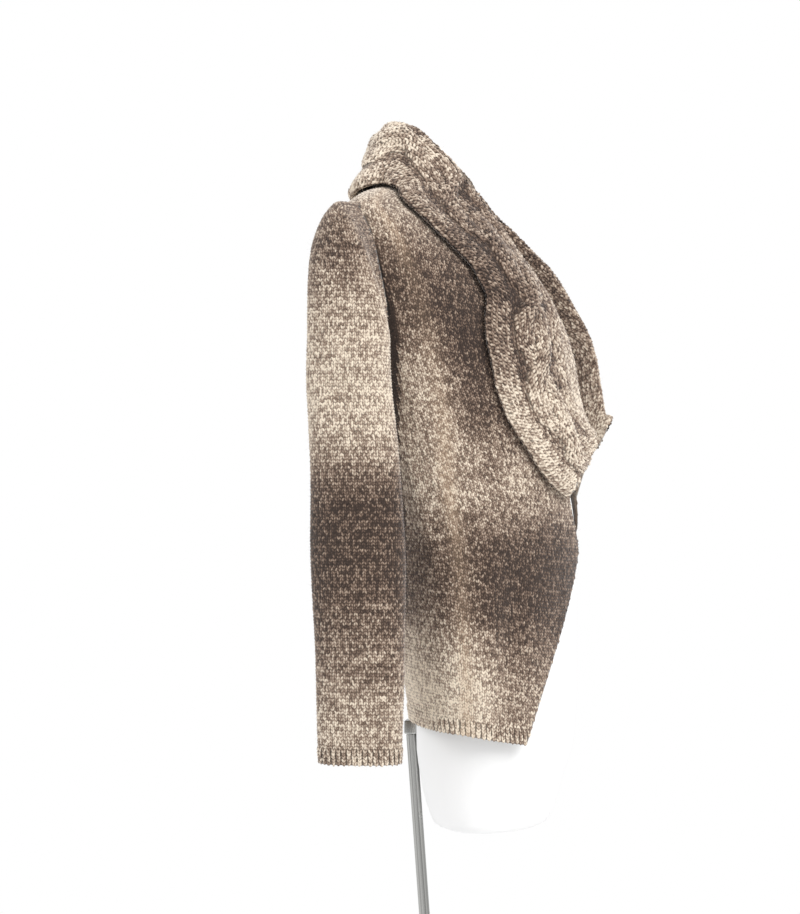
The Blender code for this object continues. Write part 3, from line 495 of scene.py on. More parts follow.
def section_points(table, angle, height, z, swell=0.0):
    """Points of a table's oval section, moved out by swell."""
    turn = np.radians(angle)
    half = smooth(table, "half_width", height)
    side = smooth(table, "side", height)
    depth = np.where(np.cos(turn) > 0, side - smooth(table, "front", height),
                     smooth(table, "back", height) - side)
    across, forward = np.sin(turn), -np.cos(turn)
    out = unit(np.stack([across / half, forward / depth], -1)) * np.expand_dims(swell, -1)
    return np.stack([half * across + out[..., 0], side + depth * forward + out[..., 1], z], -1)


def fold_depth(angle, height):
    total = np.zeros(np.shape(angle))
    for fold in FOLDS:
        middle = fold.angle + fold.lean * (height - fold.height)
        turned = (angle - middle + 180.0) % 360.0 - 180.0
        total = total + fold.depth * np.exp(-(turned / fold.half_angle) ** 2
                                            - ((height - fold.height) / fold.half_height) ** 2)
    return total


def body(angle, height):
    """The middle of the body's cloth."""
    angle, height = np.broadcast_arrays(np.asarray(angle, float), np.asarray(height, float))
    forward = np.cos(np.radians(angle))
    rise = HEM_RISE - np.where(forward > 0, HEM_FRONT_DIP, HEM_BACK_RISE) * forward
    z = height + rise * np.clip((HEM_LEVEL - height) / (HEM_LEVEL - HEM), 0.0, 1.0)
    return section_points(BODY, angle, height, z, fold_depth(angle, height))


def body_normal(angle, height):
    low = np.clip(np.asarray(height, float), HEM + 0.0006, SHOULDER - 0.0006)
    angle = np.asarray(angle, float)
    along_angle = body(angle + 0.5, low) - body(angle - 0.5, low)
    along_height = body(angle, low + 0.0005) - body(angle, low - 0.0005)
    return unit(np.cross(along_angle, along_height))


def armhole_width(height):
    """0 at the armhole's two ends and 1 at its middle."""
    t = np.clip((height - UNDERARM) / (SHOULDER_TIP - UNDERARM), 0.0, 1.0)
    return np.clip(np.sin(pi * t), 0.0, 1.0) ** ARMHOLE_ROUNDNESS


def seam_angle(height):
    """The side seam, the armhole's middle and the shoulder seam, in degrees from the front."""
    height = np.asarray(height, float)
    low = SIDE_SEAM + SEAM_BACKWARDS * ramp(SEAM_BEND, UNDERARM, height)
    heights = (UNDERARM, SHOULDER_TIP, SHOULDER)
    high = np.interp(height, heights, (SIDE_SEAM + SEAM_BACKWARDS, TIP_SEAM, NECK_SEAM))
    return np.where(height <= UNDERARM, low, high)


def front_side_angle(height):
    return seam_angle(height) - ARMHOLE_FORWARD * armhole_width(height)


def back_side_angle(height):
    return seam_angle(height) + ARMHOLE_BACKWARD * armhole_width(height)


def front_edge_angle(height, side):
    from_middle = smooth(FRONT_EDGE, "from_middle", height)
    if side == LEFT:
        from_middle = from_middle + smooth(FRONT_EDGE, "left_more", height)
    share = from_middle / smooth(BODY, "half_width", height)
    return np.degrees(np.arcsin(np.minimum(share, WIDEST_EDGE)))


# ---------------------------------------------------------------- cloth as a grid of points

Cloth = namedtuple("Cloth", "grid normals tone nap")
PanelShape = namedtuple("PanelShape", "grid flat area first")


def panel_cloth(angles, heights):
    """A field of the body's cloth. Angles has a row for each height."""
    height = np.broadcast_to(heights[:, None], angles.shape)
    around = (angles + 180.0) % 360.0 - 180.0
    forward = ramp(*FRONT_TONES, np.abs(around))
    tone = (smooth(BODY_TONES, "front", height) * forward
            + smooth(BODY_TONES, "side", height) * (1.0 - forward))
    off_line = np.abs(around) - smooth(NAP_LINE, "angle", height)
    nap = np.exp(-(off_line / NAP_HALF_ANGLE) ** 2) * smooth(NAP_LINE, "strength", height)
    # painted shade: the yarn in the crease beside the sleeve is made darker, standing in for the shadow that
    # falls there
    outer, inner = smooth(SLEEVE_CREASE_SHADE, "outer", height), smooth(SLEEVE_CREASE_SHADE, "inner", height)
    far, near = CREASE_SHADE_END
    crease_shade = ramp(inner, outer, np.abs(around)) * ramp(outer + far, outer + near, np.abs(around))
    fade = CREASE_SHADE_WEAKEST + (1.0 - CREASE_SHADE_WEAKEST) * ramp(*CREASE_SHADE_FADE, height)
    crease_shade = crease_shade * ramp(*CREASE_SHADE_TOP, height) * fade
    tone = tone - CREASE_SHADE_DEPTH * crease_shade * ramp(*CREASE_SHADE_FOOT, height)
    return Cloth(body(angles, height), body_normal(angles, height), tone, nap)


def body_heights(rows):
    """Heights for the body's grids, closer together over the shoulders."""
    low = round(rows * BODY_GRID_SHARE)
    return np.concatenate([np.linspace(HEM, SHOULDER_ROWS, low)[:-1],
                           np.linspace(SHOULDER_ROWS, SHOULDER, rows - low + 1)])


def sleeve_ring(side, turn, height):
    """A hanging section of the sleeve. Turn 0 faces the body, 0.25 the front and 0.5 outwards."""
    a = 2 * pi * turn
    across, forward = np.cos(a), np.sin(a)
    across = np.sign(across) * np.abs(across) ** SQUARENESS
    forward = np.sign(forward) * np.abs(forward) ** SQUARENESS
    swell = np.zeros(np.shape(turn))
    for fold in SLEEVE_FOLDS:
        middle = fold.height + fold.slant * (turn - fold.turn) * SLANT_SCALE
        swell = swell + fold.depth * np.exp(-((turn - fold.turn) / fold.half_turn) ** 2
                                            - ((height - middle) / fold.half_height) ** 2)
    drop = UNDERARM_DROP * (1 + np.cos(a)) / 2
    height = height - drop * np.clip((height - SLEEVE_LEVEL) / (SLEEVE_TOP - SLEEVE_LEVEL), 0.0, 1.0)
    down = SLEEVE_TOP - height
    swing = LEFT_SWING * ramp(0.0, SWING_LENGTH, down) if side == LEFT else 0.0
    z = SLEEVE_TOP - down * (LEFT_SHORTER if side == LEFT else 1.0)
    half_x = smooth(SLEEVE, "half_x", height) + swell
    half_y = smooth(SLEEVE, "half_y", height) + swell
    x = side * (smooth(SLEEVE, "out", height) - half_x * across)
    y = smooth(SLEEVE, "middle", height) - half_y * forward - swing
    return np.stack([x, y, z + np.zeros(np.shape(turn))], -1)


def armhole(side, turns):
    """The armhole's edge, its normals and the direction into the hole."""
    up = np.where(turns <= 0.5, turns, 1.0 - turns) * 2
    height = UNDERARM + (SHOULDER_TIP - UNDERARM) * up
    angle = side * np.where(turns <= 0.5, front_side_angle(height), back_side_angle(height))
    edge, normal = body(angle, height), body_normal(angle, height)
    inward = edge.mean(axis=0) - edge
    inward = unit(inward - normal * np.sum(inward * normal, axis=1, keepdims=True))
    return edge + inward * SEAM_GAP, normal, inward


def head_directions(side, turns):
    """Which way the sleeve head leaves the armhole, at any turn."""
    places = np.arange(ARMHOLE_POINTS) / ARMHOLE_POINTS
    _, normal, inward = armhole(side, places)
    at_back = np.clip(-np.sin(2 * pi * places), 0.0, 1.0)[:, None] * np.array([0.0, LEAVE_BACKWARDS, 0.0])
    at_top = np.clip(-np.cos(2 * pi * places), 0.0, 1.0)[:, None] * np.array([0.0, 0.0, LEAVE_UPWARDS])
    leave = unit(normal * np.array([1.0, 1.0, LEAVE_RISE]) + LEAVE_INWARD * inward + at_back + at_top)
    for _ in range(LEAVE_SMOOTHING):
        leave = unit(np.roll(leave, 1, axis=0) + 2 * leave + np.roll(leave, -1, axis=0))
    around = np.append(places, 1.0)
    return unit(np.stack([np.interp(turns, around, np.append(axis, axis[0])) for axis in leave.T], -1))


def sleeve_cloth(side, columns, cap_rows, hanging_rows):
    """The sleeve from its cuff up to the armhole, opened out at the side that faces the body."""
    turns = np.linspace(0.0, 1.0, columns)
    edge, _, _ = armhole(side, turns)
    first = sleeve_ring(side, turns, SLEEVE_TOP)
    reach = np.linalg.norm(first - edge, axis=-1, keepdims=True)
    full = np.clip(-np.sin(2 * pi * turns), 0.0, 1.0) + np.clip(-np.cos(2 * pi * turns), 0.0, 1.0)
    leave = head_directions(side, turns) * reach * LEAVE_REACH
    arrive = np.array([0.0, 0.0, -1.0]) * reach * (1.0 + CAP_FULLNESS * np.expand_dims(full, -1))
    rows = [sleeve_ring(side, turns, height) for height in np.linspace(CUFF, SLEEVE_TOP, hanging_rows)]
    rows += [bend(t, edge, first, leave, arrive) for t in np.linspace(1.0, 0.0, cap_rows)[1:]]
    grid = np.array(rows)
    around = np.roll(grid[:, :-1], -1, axis=1) - np.roll(grid[:, :-1], 1, axis=1)
    around = np.concatenate([around, around[:, :1]], axis=1)
    normals = unit(np.cross(around, np.gradient(grid, axis=0))) * side
    tone = smooth(SLEEVE_TONES, "tone", grid[..., 2])
    return Cloth(grid, normals, tone, np.zeros(tone.shape))


def spline(points, counts):
    """A curve through the points, with so many steps between each two, closer together at its end."""
    length = along_path(points)
    slope = np.diff(points, axis=0) / np.diff(length)[:, None]
    width = np.diff(length)[:, None]
    middle = (slope[:-1] * width[1:] + slope[1:] * width[:-1]) / (width[1:] + width[:-1])
    tangent = np.vstack([slope[:1], middle, slope[-1:]])
    at = np.concatenate([np.linspace(length[k], length[k + 1], count + 1)[:-1]
                         for k, count in enumerate(counts[:-1])])
    near = 1.0 - (1.0 - np.linspace(0.0, 1.0, counts[-1] + 1)) ** CROWDING
    at = np.concatenate([at, length[-2] + (length[-1] - length[-2]) * near])
    place = np.clip(np.searchsorted(length, at, side="right") - 1, 0, len(length) - 2)
    t = ((at - length[place]) / np.diff(length)[place])[:, None]
    return bend(t, points[place], points[place + 1], tangent[place], tangent[place + 1], width[place])


def collar_controls(side, along, sewn):
    """From the sewn edge up the stand, over the roll and down the fall to the free edge."""
    roll = np.array([side * float(smooth(COLLAR, "roll_x", along)),
                     float(smooth(COLLAR, "roll_y", along)),
                     float(smooth(COLLAR, "roll_z", along))])
    if side == LEFT:
        roll[1] -= LEFT_ROLL_FORWARD * float(ramp(*ROLL_SETS_IN, along))
        roll[1] += LEFT_FOOT_BACK * float(ramp(*BACK_SETS_IN, along))
        roll[2] += LEFT_FOOT_RAISE * float(ramp(*FOOT_SETS_IN, along))
    angle = side * float(smooth(COLLAR, "edge_angle", along))
    height = float(smooth(COLLAR, "edge_height", along))
    if side == LEFT:
        height += LEFT_EDGE_RAISE * float(ramp(*EDGE_SETS_IN, along))
    edge = body(angle, height) + body_normal(angle, height) * EDGE_LIFT
    roll_angle = side * degrees(asin(min(abs(roll[0]) / CHEST_RADIUS, 1.0))) if along > OWN_ANGLE else angle
    middle_angle = (angle + roll_angle) / 2
    middle_height = min((height + roll[2]) / 2, FALL_TOP)
    out = body_normal(middle_angle, middle_height)
    middle = (roll + edge) / 2 + out * (float(smooth(COLLAR, "puff", along)) + FALL_LIFT)
    up = unit(roll - (sewn + middle) / 2)
    sideways = middle - sewn
    sideways = unit(sideways - up * np.dot(sideways, up))
    before = roll - up * ROLL_DEPTH - sideways * ROLL_RADIUS
    after = roll - up * ROLL_DEPTH + sideways * ROLL_RADIUS
    stand = (sewn + before) / 2 - sideways * STAND_HOLLOW
    stand[1] += FOOT_PULL * float(ramp(*FOOT_SETS_IN, along))
    return np.array([sewn, stand, before, roll, after, middle, edge])


def neck_seam(side, along):
    """Angle and height of the collar's sewn edge."""
    if along <= BACK_NECK_SHARE:
        return side * (180.0 - 90.0 * along / BACK_NECK_SHARE), SHOULDER
    height = SHOULDER - (SHOULDER - COLLAR_FOOT) * max(along - NECK_SHARE, 0.0) / (1.0 - NECK_SHARE)
    return side * float(front_edge_angle(height, side)), height


def collar_cloth(side, back_rows, front_rows, counts):
    """Half of the collar, from the centre back to its foot and from the free edge to the seam."""
    alongs = np.concatenate([np.linspace(0.0, BACK_NECK_SHARE, back_rows),
                             np.linspace(NECK_SHARE, 1.0, front_rows)])
    places = [neck_seam(side, along) for along in alongs]
    edges = np.array([body(angle, height) for angle, height in places])
    flow = np.gradient(edges, axis=0)
    rows = []
    for along, (angle, height), sewn, direction in zip(alongs, places, edges, flow):
        sewn = sewn + unit(np.cross(direction, body_normal(angle, height))) * side * SEAM_GAP
        rows.append(spline(collar_controls(side, along, sewn), counts)[::-1])
    grid = np.array(rows)
    grid[0, :, 0] = side * SEAM_GAP / 2
    normals = unit(np.cross(np.gradient(grid, axis=0), np.gradient(grid, axis=1))) * -side
    normals[0, :, 0] = 0.0
    normals = unit(normals)
    share = np.linspace(0.0, 1.0, grid.shape[1])[None, :]
    edge_tone = smooth(COLLAR_TONES, "edge", alongs)[:, None]
    roll_tone = smooth(COLLAR_TONES, "roll", alongs)[:, None]
    tone = edge_tone + (roll_tone - edge_tone) * ramp(*ROLL_TONES, share)
    # painted shade: the left half of the collar is darkened
    if side == LEFT:
        left_shade = LEFT_PAINTED_SHADE * ramp(*LEFT_SHADE_TOP, alongs) * ramp(*LEFT_SHADE_FOOT, alongs)
        tone = tone * (1.0 - left_shade)[:, None]
    return Cloth(grid, normals, tone, np.zeros(tone.shape))


def cable_strands(from_edge, run):
    """Height and slope of each of the cable's two strands."""
    turn = pi * run / CABLE_STEP
    strands = []
    for sign in (1, -1):
        middle = CABLE_MIDDLE + sign * CABLE_SWING * np.cos(turn)
        over = 1 - (1 - CABLE_UNDER) * (1 - np.clip(sign * np.sin(turn) * 2, -1, 1)) / 2
        round_top = np.sqrt(np.clip(1 - ((from_edge - middle) / CABLE_STRAND) ** 2, 0, 1))
        slope = -sign * CABLE_SWING * np.sin(turn) * pi / CABLE_STEP
        strands.append((CABLE_RELIEF * over * round_top, slope))
    return strands


def collar_relief(from_edge, run):
    """Height of the collar's pattern: a border, a groove, a rope cable and a second border."""
    border = np.exp(-((from_edge - BORDER_WIDTH / 2) / BORDER_HALF) ** 4) * BORDER_RELIEF
    bead = np.exp(-((from_edge - BEAD_MIDDLE) / BEAD_HALF) ** 4) * BORDER_RELIEF
    total = np.maximum(border, bead)
    for height, _ in cable_strands(from_edge, run):
        total = np.maximum(total, height)
    return total


def collar_turn(from_edge, run):
    """How far the stitches lean, in radians: along their strand, or across the border."""
    (first, first_slope), (second, second_slope) = cable_strands(from_edge, run)
    turn = np.arctan(np.where(first > second, first_slope, second_slope)) * CABLE_LEAN
    turn = np.where(np.maximum(first, second) > STRAND_STARTS, turn, 0.0)
    return np.where(from_edge < BORDER_WIDTH * BORDER_LEAN_SHARE, BORDER_LEAN, turn)


# ---------------------------------------------------------------- stitches on the cloth

Stitches = namedtuple("Stitches", "place out along u v tone nap row")


def lengths_across(grid, origin):
    """Length along each grid row, counted from the origin column, which may be a fraction."""
    step = np.linalg.norm(np.diff(grid, axis=1), axis=2)
    length = np.hstack([np.zeros((len(grid), 1)), np.cumsum(step, axis=1)])
    index = np.arange(grid.shape[1])
    start = np.array([np.interp(place, index, row) for place, row in zip(origin, length)])
    return length - start[:, None]


def along_path(points):
    """Length from the first point to each of a path's points."""
    return np.concatenate(([0.0], np.cumsum(np.linalg.norm(np.diff(points, axis=0), axis=1))))


def fall_run(cloth, column):
    """Length along the collar's fall, from the centre back to each of its rows."""
    return along_path(cloth.grid[:, column])


def outer_column(cloth):
    """The middle column of a sleeve, on its outer side, for each of its rows."""
    return np.full(len(cloth.grid), (cloth.grid.shape[1] - 1) / 2)


def between(values, place):
    """Rows of values at fractional columns, one set of columns for each row."""
    low = np.clip(np.floor(place).astype(int), 0, values.shape[1] - 2)
    part = place - low
    if values.ndim == 3:
        part = part[..., None]
    rows = np.arange(len(values))[:, None]
    return values[rows, low] * (1 - part) + values[rows, low + 1] * part


def lay_stitches(cloth, origin, wale, row, low=0.0, high=HIGHEST, keep=None, first=0.5):
    """Stitches in wales a fixed distance apart, each row a fixed length further up its wale.

    The first wale stands that part of a wale's width beside the origin line.
    """
    across = lengths_across(cloth.grid, origin)
    index = np.arange(cloth.grid.shape[1])
    numbers = np.arange(np.ceil(across.min() / wale - first), np.floor(across.max() / wale - first) + 1)
    wanted = (numbers + first) * wale
    place = np.array([np.interp(wanted, line, index, left=np.nan, right=np.nan) for line in across])
    inside = np.isfinite(place)
    place = np.where(inside, place, 0.0)
    points = between(cloth.grid, place)
    normals = between(cloth.normals, place)
    tones = between(cloth.tone, place)
    naps = between(cloth.nap, place)
    line = between(cloth.grid, np.asarray(origin, float)[:, None])[:, 0]
    run = along_path(line)
    found = []
    for number, u in enumerate(wanted):
        rows = np.flatnonzero(inside[:, number])
        if len(rows) < 3:
            continue
        path = points[rows, number]
        v = run[rows[0]] + along_path(path)
        at = (np.arange(np.ceil(v[0] / row), np.floor(v[-1] / row)) + 0.5) * row
        at = at[(at > max(low, v[0])) & (at < min(high, v[-1]))]
        if not len(at):
            continue
        fields = np.column_stack([path, normals[rows, number], np.gradient(path, axis=0),
                                  tones[rows, number], naps[rows, number], rows, place[rows, number]])
        read = np.column_stack([np.interp(at, v, field) for field in fields.T])
        found.append(np.column_stack([read, np.full(len(at), u), at]))
    table = np.vstack(found)
    if keep is not None:
        table = table[keep(table[:, 11], table[:, 12])]
    return Stitches(table[:, :3], unit(table[:, 3:6]), unit(table[:, 6:9]), table[:, 13], table[:, 14],
                    table[:, 9], table[:, 10], table[:, 11])


def raise_stitches(stitches, run, side):
    """Move stitches out by the collar's relief, lean their faces with its slope and turn them with it."""
    step = SLOPE_STEP
    u, v = np.maximum(stitches.u, 0.0), np.interp(stitches.row, np.arange(len(run)), run)
    across = unit(np.cross(stitches.along, stitches.out)) * side
    slope_u = (collar_relief(u + step, v) - collar_relief(u - step, v)) / (2 * step)
    slope_v = (collar_relief(u, v + step) - collar_relief(u, v - step)) / (2 * step)
    slope_u, slope_v = (np.where(stitches.u > 0.0, np.clip(slope, -STEEPEST, STEEPEST), 0.0)[:, None]
                        for slope in (slope_u, slope_v))
    out = unit(stitches.out - slope_u * across - slope_v * stitches.along)
    place = stitches.place + stitches.out * collar_relief(u, v)[:, None]
    angle = collar_turn(u, v)[:, None]
    along = stitches.along * np.cos(angle) + across * np.sin(angle)
    along = unit(along - out * np.sum(along * out, axis=1, keepdims=True))
    # painted shade: the yarn in the low grooves between the collar's border, cable and bead is darkened
    pattern = ramp(*PATTERN_START, u) * ramp(BEAD_MIDDLE + PATTERN_START[0], BEAD_MIDDLE, u)
    groove = ramp(GROOVE_DEPTH, 0.0, collar_relief(u, v)) * pattern
    return stitches._replace(place=place, out=out, along=along, tone=stitches.tone - GROOVE_PAINTED_SHADE * groove)


def stitch_legs(name, groups, lean):
    """A mesh with a point for each leg of each stitch, ready for the stitch tree.

    Groups holds stitches, the width of one and how far they stand out from where they were laid.
    """
    places, outs, leans, tones, naps, cloths = [], [], [], [], [], []
    random = np.random.default_rng(len(groups[0][0].u))
    for stitches, wale, lift in groups:
        across = unit(np.cross(stitches.along, stitches.out))
        for side in (-1, 1):
            direction = stitches.along * cos(lean) + across * side * sin(lean)
            jog = random.uniform(-UNEVEN, UNEVEN, (2, len(stitches.u), 1)) * wale
            aside = side * wale * LEG_ASIDE
            places.append(stitches.place + stitches.out * lift + across * (aside + jog[0])
                          + stitches.along * jog[1])
            outs.append(stitches.out)
            leans.append(unit(direction))
            tones.append(stitches.tone)
            naps.append(stitches.nap)
            cloths.append(np.column_stack([stitches.u + aside, stitches.v, np.full(len(stitches.u), wale)]))
    mesh = bpy.data.meshes.new(name)
    place = np.vstack(places)
    mesh.vertices.add(len(place))
    mesh.vertices.foreach_set("co", place.ravel())
    store(mesh, "leg_out", np.vstack(outs))
    store(mesh, "leg_lean", np.vstack(leans))
    store(mesh, "cloth", np.vstack(cloths))
    store(mesh, "tone", np.concatenate(tones))
    store(mesh, "nap", np.concatenate(naps))
    store(mesh, "yarn", random.random(len(place)))
    return mesh


# ---------------------------------------------------------------- node trees

def socket(tree, name, kind, default=None, way="INPUT"):
    made = tree.interface.new_socket(name=name, in_out=way, socket_type=f"NodeSocket{kind}")
    if default is not None:
        made.default_value = default
    return made


def connect(tree, made, inputs):
    """Link or set a node's inputs, by name or number."""
    for key, value in inputs.items():
        if isinstance(value, bpy.types.NodeSocket):
            tree.links.new(value, made.inputs[key])
        else:
            made.inputs[key].default_value = value


def node(tree, kind, *first, **values):
    """A node with its properties set, and its inputs given in turn or as a dictionary."""
    made = tree.nodes.new(kind)
    named_inputs = values.pop("inputs", {})
    for key, value in values.items():
        setattr(made, key, value)
    connect(tree, made, dict(enumerate(first)))
    connect(tree, made, named_inputs)
    return made


def maths(tree, operation, *values):
    return node(tree, "ShaderNodeMath", *values, operation=operation).outputs[0]


def attribute(tree, name, kind="FLOAT_VECTOR"):
    read = node(tree, "GeometryNodeInputNamedAttribute", data_type=kind, inputs={"Name": name})
    return read.outputs["Attribute"]


def geometry_tree(name, sizes):
    """A tree that takes points or a mesh, sizes with their defaults, a seed and a material."""
    tree = bpy.data.node_groups.new(name, "GeometryNodeTree")
    socket(tree, "Geometry", "Geometry")
    for label, default in sizes.items():
        socket(tree, label, "Float", default)
    socket(tree, "Seed", "Int", 1)
    socket(tree, "Material", "Material")
    socket(tree, "Geometry", "Geometry", way="OUTPUT")
    return tree, node(tree, "NodeGroupInput").outputs


def scatter(tree, given, points, shape, facing, swing, size, uneven):
    """A shape on each point, swung from its facing and uneven in size, as one smooth painted mesh.

    Swing and uneven each hold the least and the most.
    """
    swung = node(tree, "FunctionNodeRandomValue", *swing, data_type="FLOAT_VECTOR",
                 inputs={"Seed": given["Seed"]})
    turned = node(tree, "FunctionNodeEulerToRotation", swung.outputs[0])
    turn = node(tree, "FunctionNodeRotateRotation", facing, turned.outputs[0], rotation_space="LOCAL")
    part = node(tree, "FunctionNodeRandomValue", data_type="FLOAT",
                inputs={2: uneven[0], 3: uneven[1], "Seed": given["Seed"]})
    sized = node(tree, "ShaderNodeVectorMath", node(tree, "ShaderNodeCombineXYZ", *size).outputs[0],
                 operation="SCALE", inputs={"Scale": part.outputs[1]})
    placed = node(tree, "GeometryNodeInstanceOnPoints",
                  inputs={"Points": points, "Instance": shape, "Rotation": turn.outputs[0],
                          "Scale": sized.outputs[0]})
    real = node(tree, "GeometryNodeRealizeInstances", placed.outputs[0])
    painted = node(tree, "GeometryNodeSetMaterial",
                   inputs={"Geometry": real.outputs[0], "Material": given["Material"]})
    soft = node(tree, "GeometryNodeSetShadeSmooth", painted.outputs[0])
    node(tree, "NodeGroupOutput", soft.outputs[0])
    return tree


def cone(tree, corners, radius):
    return node(tree, "GeometryNodeMeshCone", fill_type="NONE",
                inputs={"Vertices": corners, "Radius Top": 0.0, "Radius Bottom": radius, "Depth": 1.0})


def make_stitch_tree(name):
    """A raised scale on each point: six small faces, longer than they are wide."""
    tree, given = geometry_tree(name, {"Leg Width": 0.0026, "Leg Length": 0.0050, "Leg Height": 0.0011})
    place = node(tree, "GeometryNodeInputPosition").outputs[0]
    height = node(tree, "ShaderNodeSeparateXYZ", place).outputs["Z"]
    # painted shade and highlight: each leg keeps its height, 0 at the rim and 1 at the tip, and its yarn is
    # darker at the rim and paler at the tip
    scale = node(tree, "GeometryNodeStoreNamedAttribute", data_type="FLOAT", domain="POINT",
                 inputs={"Geometry": cone(tree, 6, 0.5).outputs["Mesh"], "Name": "peak", "Value": height})
    facing = node(tree, "FunctionNodeAxesToRotation", primary_axis="Z", secondary_axis="Y",
                  inputs={"Primary Axis": attribute(tree, "leg_out"),
                          "Secondary Axis": attribute(tree, "leg_lean")})
    return scatter(tree, given, given["Geometry"], scale.outputs[0], facing.outputs[0],
                   ([-angle for angle in LEG_SWING], LEG_SWING),
                   (given["Leg Width"], given["Leg Length"], given["Leg Height"]), LEG_UNEVEN)


def make_nap_tree(name):
    """Thin hairs that stand away from the cloth's outer side."""
    tree, given = geometry_tree(name, {"Hairs per Area": 20000.0, "Hair Length": 0.009,
                                       "Hair Radius": 0.00006, "Lean": 1.1})
    outside = node(tree, "FunctionNodeCompare", attribute(tree, "outside", "FLOAT"), 0.5,
                   data_type="FLOAT", operation="GREATER_THAN")
    thick = maths(tree, "MULTIPLY_ADD", attribute(tree, "nap", "FLOAT"), 2.0, 1.0)
    spots = node(tree, "GeometryNodeDistributePointsOnFaces", distribute_method="RANDOM",
                 inputs={"Mesh": given["Geometry"], "Selection": outside.outputs[0],
                         "Density": maths(tree, "MULTIPLY", given["Hairs per Area"], thick),
                         "Seed": given["Seed"]}).outputs
    back = maths(tree, "MULTIPLY", given["Lean"], -1.0)
    least = node(tree, "ShaderNodeCombineXYZ", back, back, -pi)
    most = node(tree, "ShaderNodeCombineXYZ", given["Lean"], given["Lean"], pi)
    return scatter(tree, given, spots["Points"], cone(tree, 3, 1.0).outputs["Mesh"], spots["Rotation"],
                   (least.outputs[0], most.outputs[0]),
                   (given["Hair Radius"], given["Hair Radius"], given["Hair Length"]), HAIR_UNEVEN)


def as_mesh(thing):
    """What an object's modifiers make of it, as a plain mesh."""
    made = bpy.data.meshes.new_from_object(thing.evaluated_get(bpy.context.evaluated_depsgraph_get()))
    thing.modifiers.clear()
    thing.data = made
    return thing


def grow(mesh, name, tree, values):
    """Run a node tree on a mesh and keep its result as a plain mesh object."""
    thing = new_object(name, mesh)
    modifier = thing.modifiers.new(tree.name, "NODES")
    modifier.node_group = tree
    for item in tree.interface.items_tree:
        if item.item_type == "SOCKET" and item.in_out == "INPUT" and item.name in values:
            modifier[item.identifier] = values[item.name]
    as_mesh(thing).data.name = name
    return thing


# ---------------------------------------------------------------- materials

def noise(tree, vector, scale, detail, roughness=0.5):
    return node(tree, "ShaderNodeTexNoise", inputs={"Vector": vector, "Scale": scale, "Detail": detail,
                                                    "Roughness": roughness}).outputs["Fac"]


def stretched(tree, vector, scale):
    return node(tree, "ShaderNodeVectorMath", vector, scale, operation="MULTIPLY").outputs[0]


def spread_to(tree, value, low, high):
    return node(tree, "ShaderNodeMapRange", inputs={"Value": value, "To Min": low, "To Max": high}).outputs[0]


def share_of(tree, value, low, high):
    made = node(tree, "ShaderNodeMapRange", inputs={"Value": value, "From Min": low, "From Max": high})
    return made.outputs[0]


def blend(tree, part, first, second):
    return node(tree, "ShaderNodeMix", data_type="RGBA", inputs={0: part, 6: first, 7: second}).outputs[2]


def bump(tree, height, strength, distance):
    return node(tree, "ShaderNodeBump", inputs={"Height": height, "Strength": strength,
                                                "Distance": distance}).outputs[0]


def object_place(tree):
    return node(tree, "ShaderNodeTexCoord").outputs["Object"]


def new_material(name):
    material = bpy.data.materials.new(name)
    material.use_nodes = True
    return material, material.node_tree, material.node_tree.nodes["Principled BSDF"]


def make_marl(name):
    """The shaded marl yarn: bands, streaks along the rows, a fleck for each leg, painted shade at each leg's
    rim with a painted highlight at its tip, and fibres on it.
    """
    tree = bpy.data.node_groups.new(name, "ShaderNodeTree")
    for label, default in (("Tone", 0.5), ("Yarn", 0.5), ("Nap", 0.0), ("Peak", 0.5), ("Contrast", 1.0)):
        socket(tree, label, "Float", default)
    socket(tree, "Cloth", "Vector")
    for label in YARN_COLOURS:
        socket(tree, label, "Color")
    socket(tree, "Colour", "Color", way="OUTPUT")
    socket(tree, "Height", "Float", way="OUTPUT")
    given = node(tree, "NodeGroupInput").outputs

    def uneven(value, amount):
        return maths(tree, "MULTIPLY", maths(tree, "SUBTRACT", value, 0.5), amount)

    def add(total, *values):
        for value in values:
            total = maths(tree, "ADD", total, value)
        return total

    streak = noise(tree, stretched(tree, given["Cloth"], STREAK_SCALE), scale=1.0, detail=3.0)
    blotch = noise(tree, object_place(tree), BLOTCH_SCALE, detail=2.0)
    fibre = noise(tree, object_place(tree), FIBRE_SCALE, detail=2.0, roughness=FIBRE_ROUGHNESS)
    # a leg's random yarn, its fibres, and the painted shade and highlight from its peak
    fleck = add(uneven(given["Yarn"], YARN_SHARE), uneven(fibre, FIBRE_SHARE),
                uneven(given["Peak"], PEAK_LIGHT_AND_SHADE_SHARE))
    tone = add(given["Tone"], uneven(streak, STREAK_SHARE), uneven(blotch, BLOTCH_SHARE),
               maths(tree, "MULTIPLY", fleck, given["Contrast"]),
               maths(tree, "MULTIPLY", given["Nap"], NAP_SHARE))
    colour = given["Dark"]
    for low, high, label in YARN_STEPS:
        colour = blend(tree, share_of(tree, tone, low, high), colour, given[label])
    colour = blend(tree, maths(tree, "MULTIPLY", given["Nap"], NAPPED_SHARE), colour, given["Rubbed"])
    node(tree, "NodeGroupOutput", colour, fibre)
    return tree


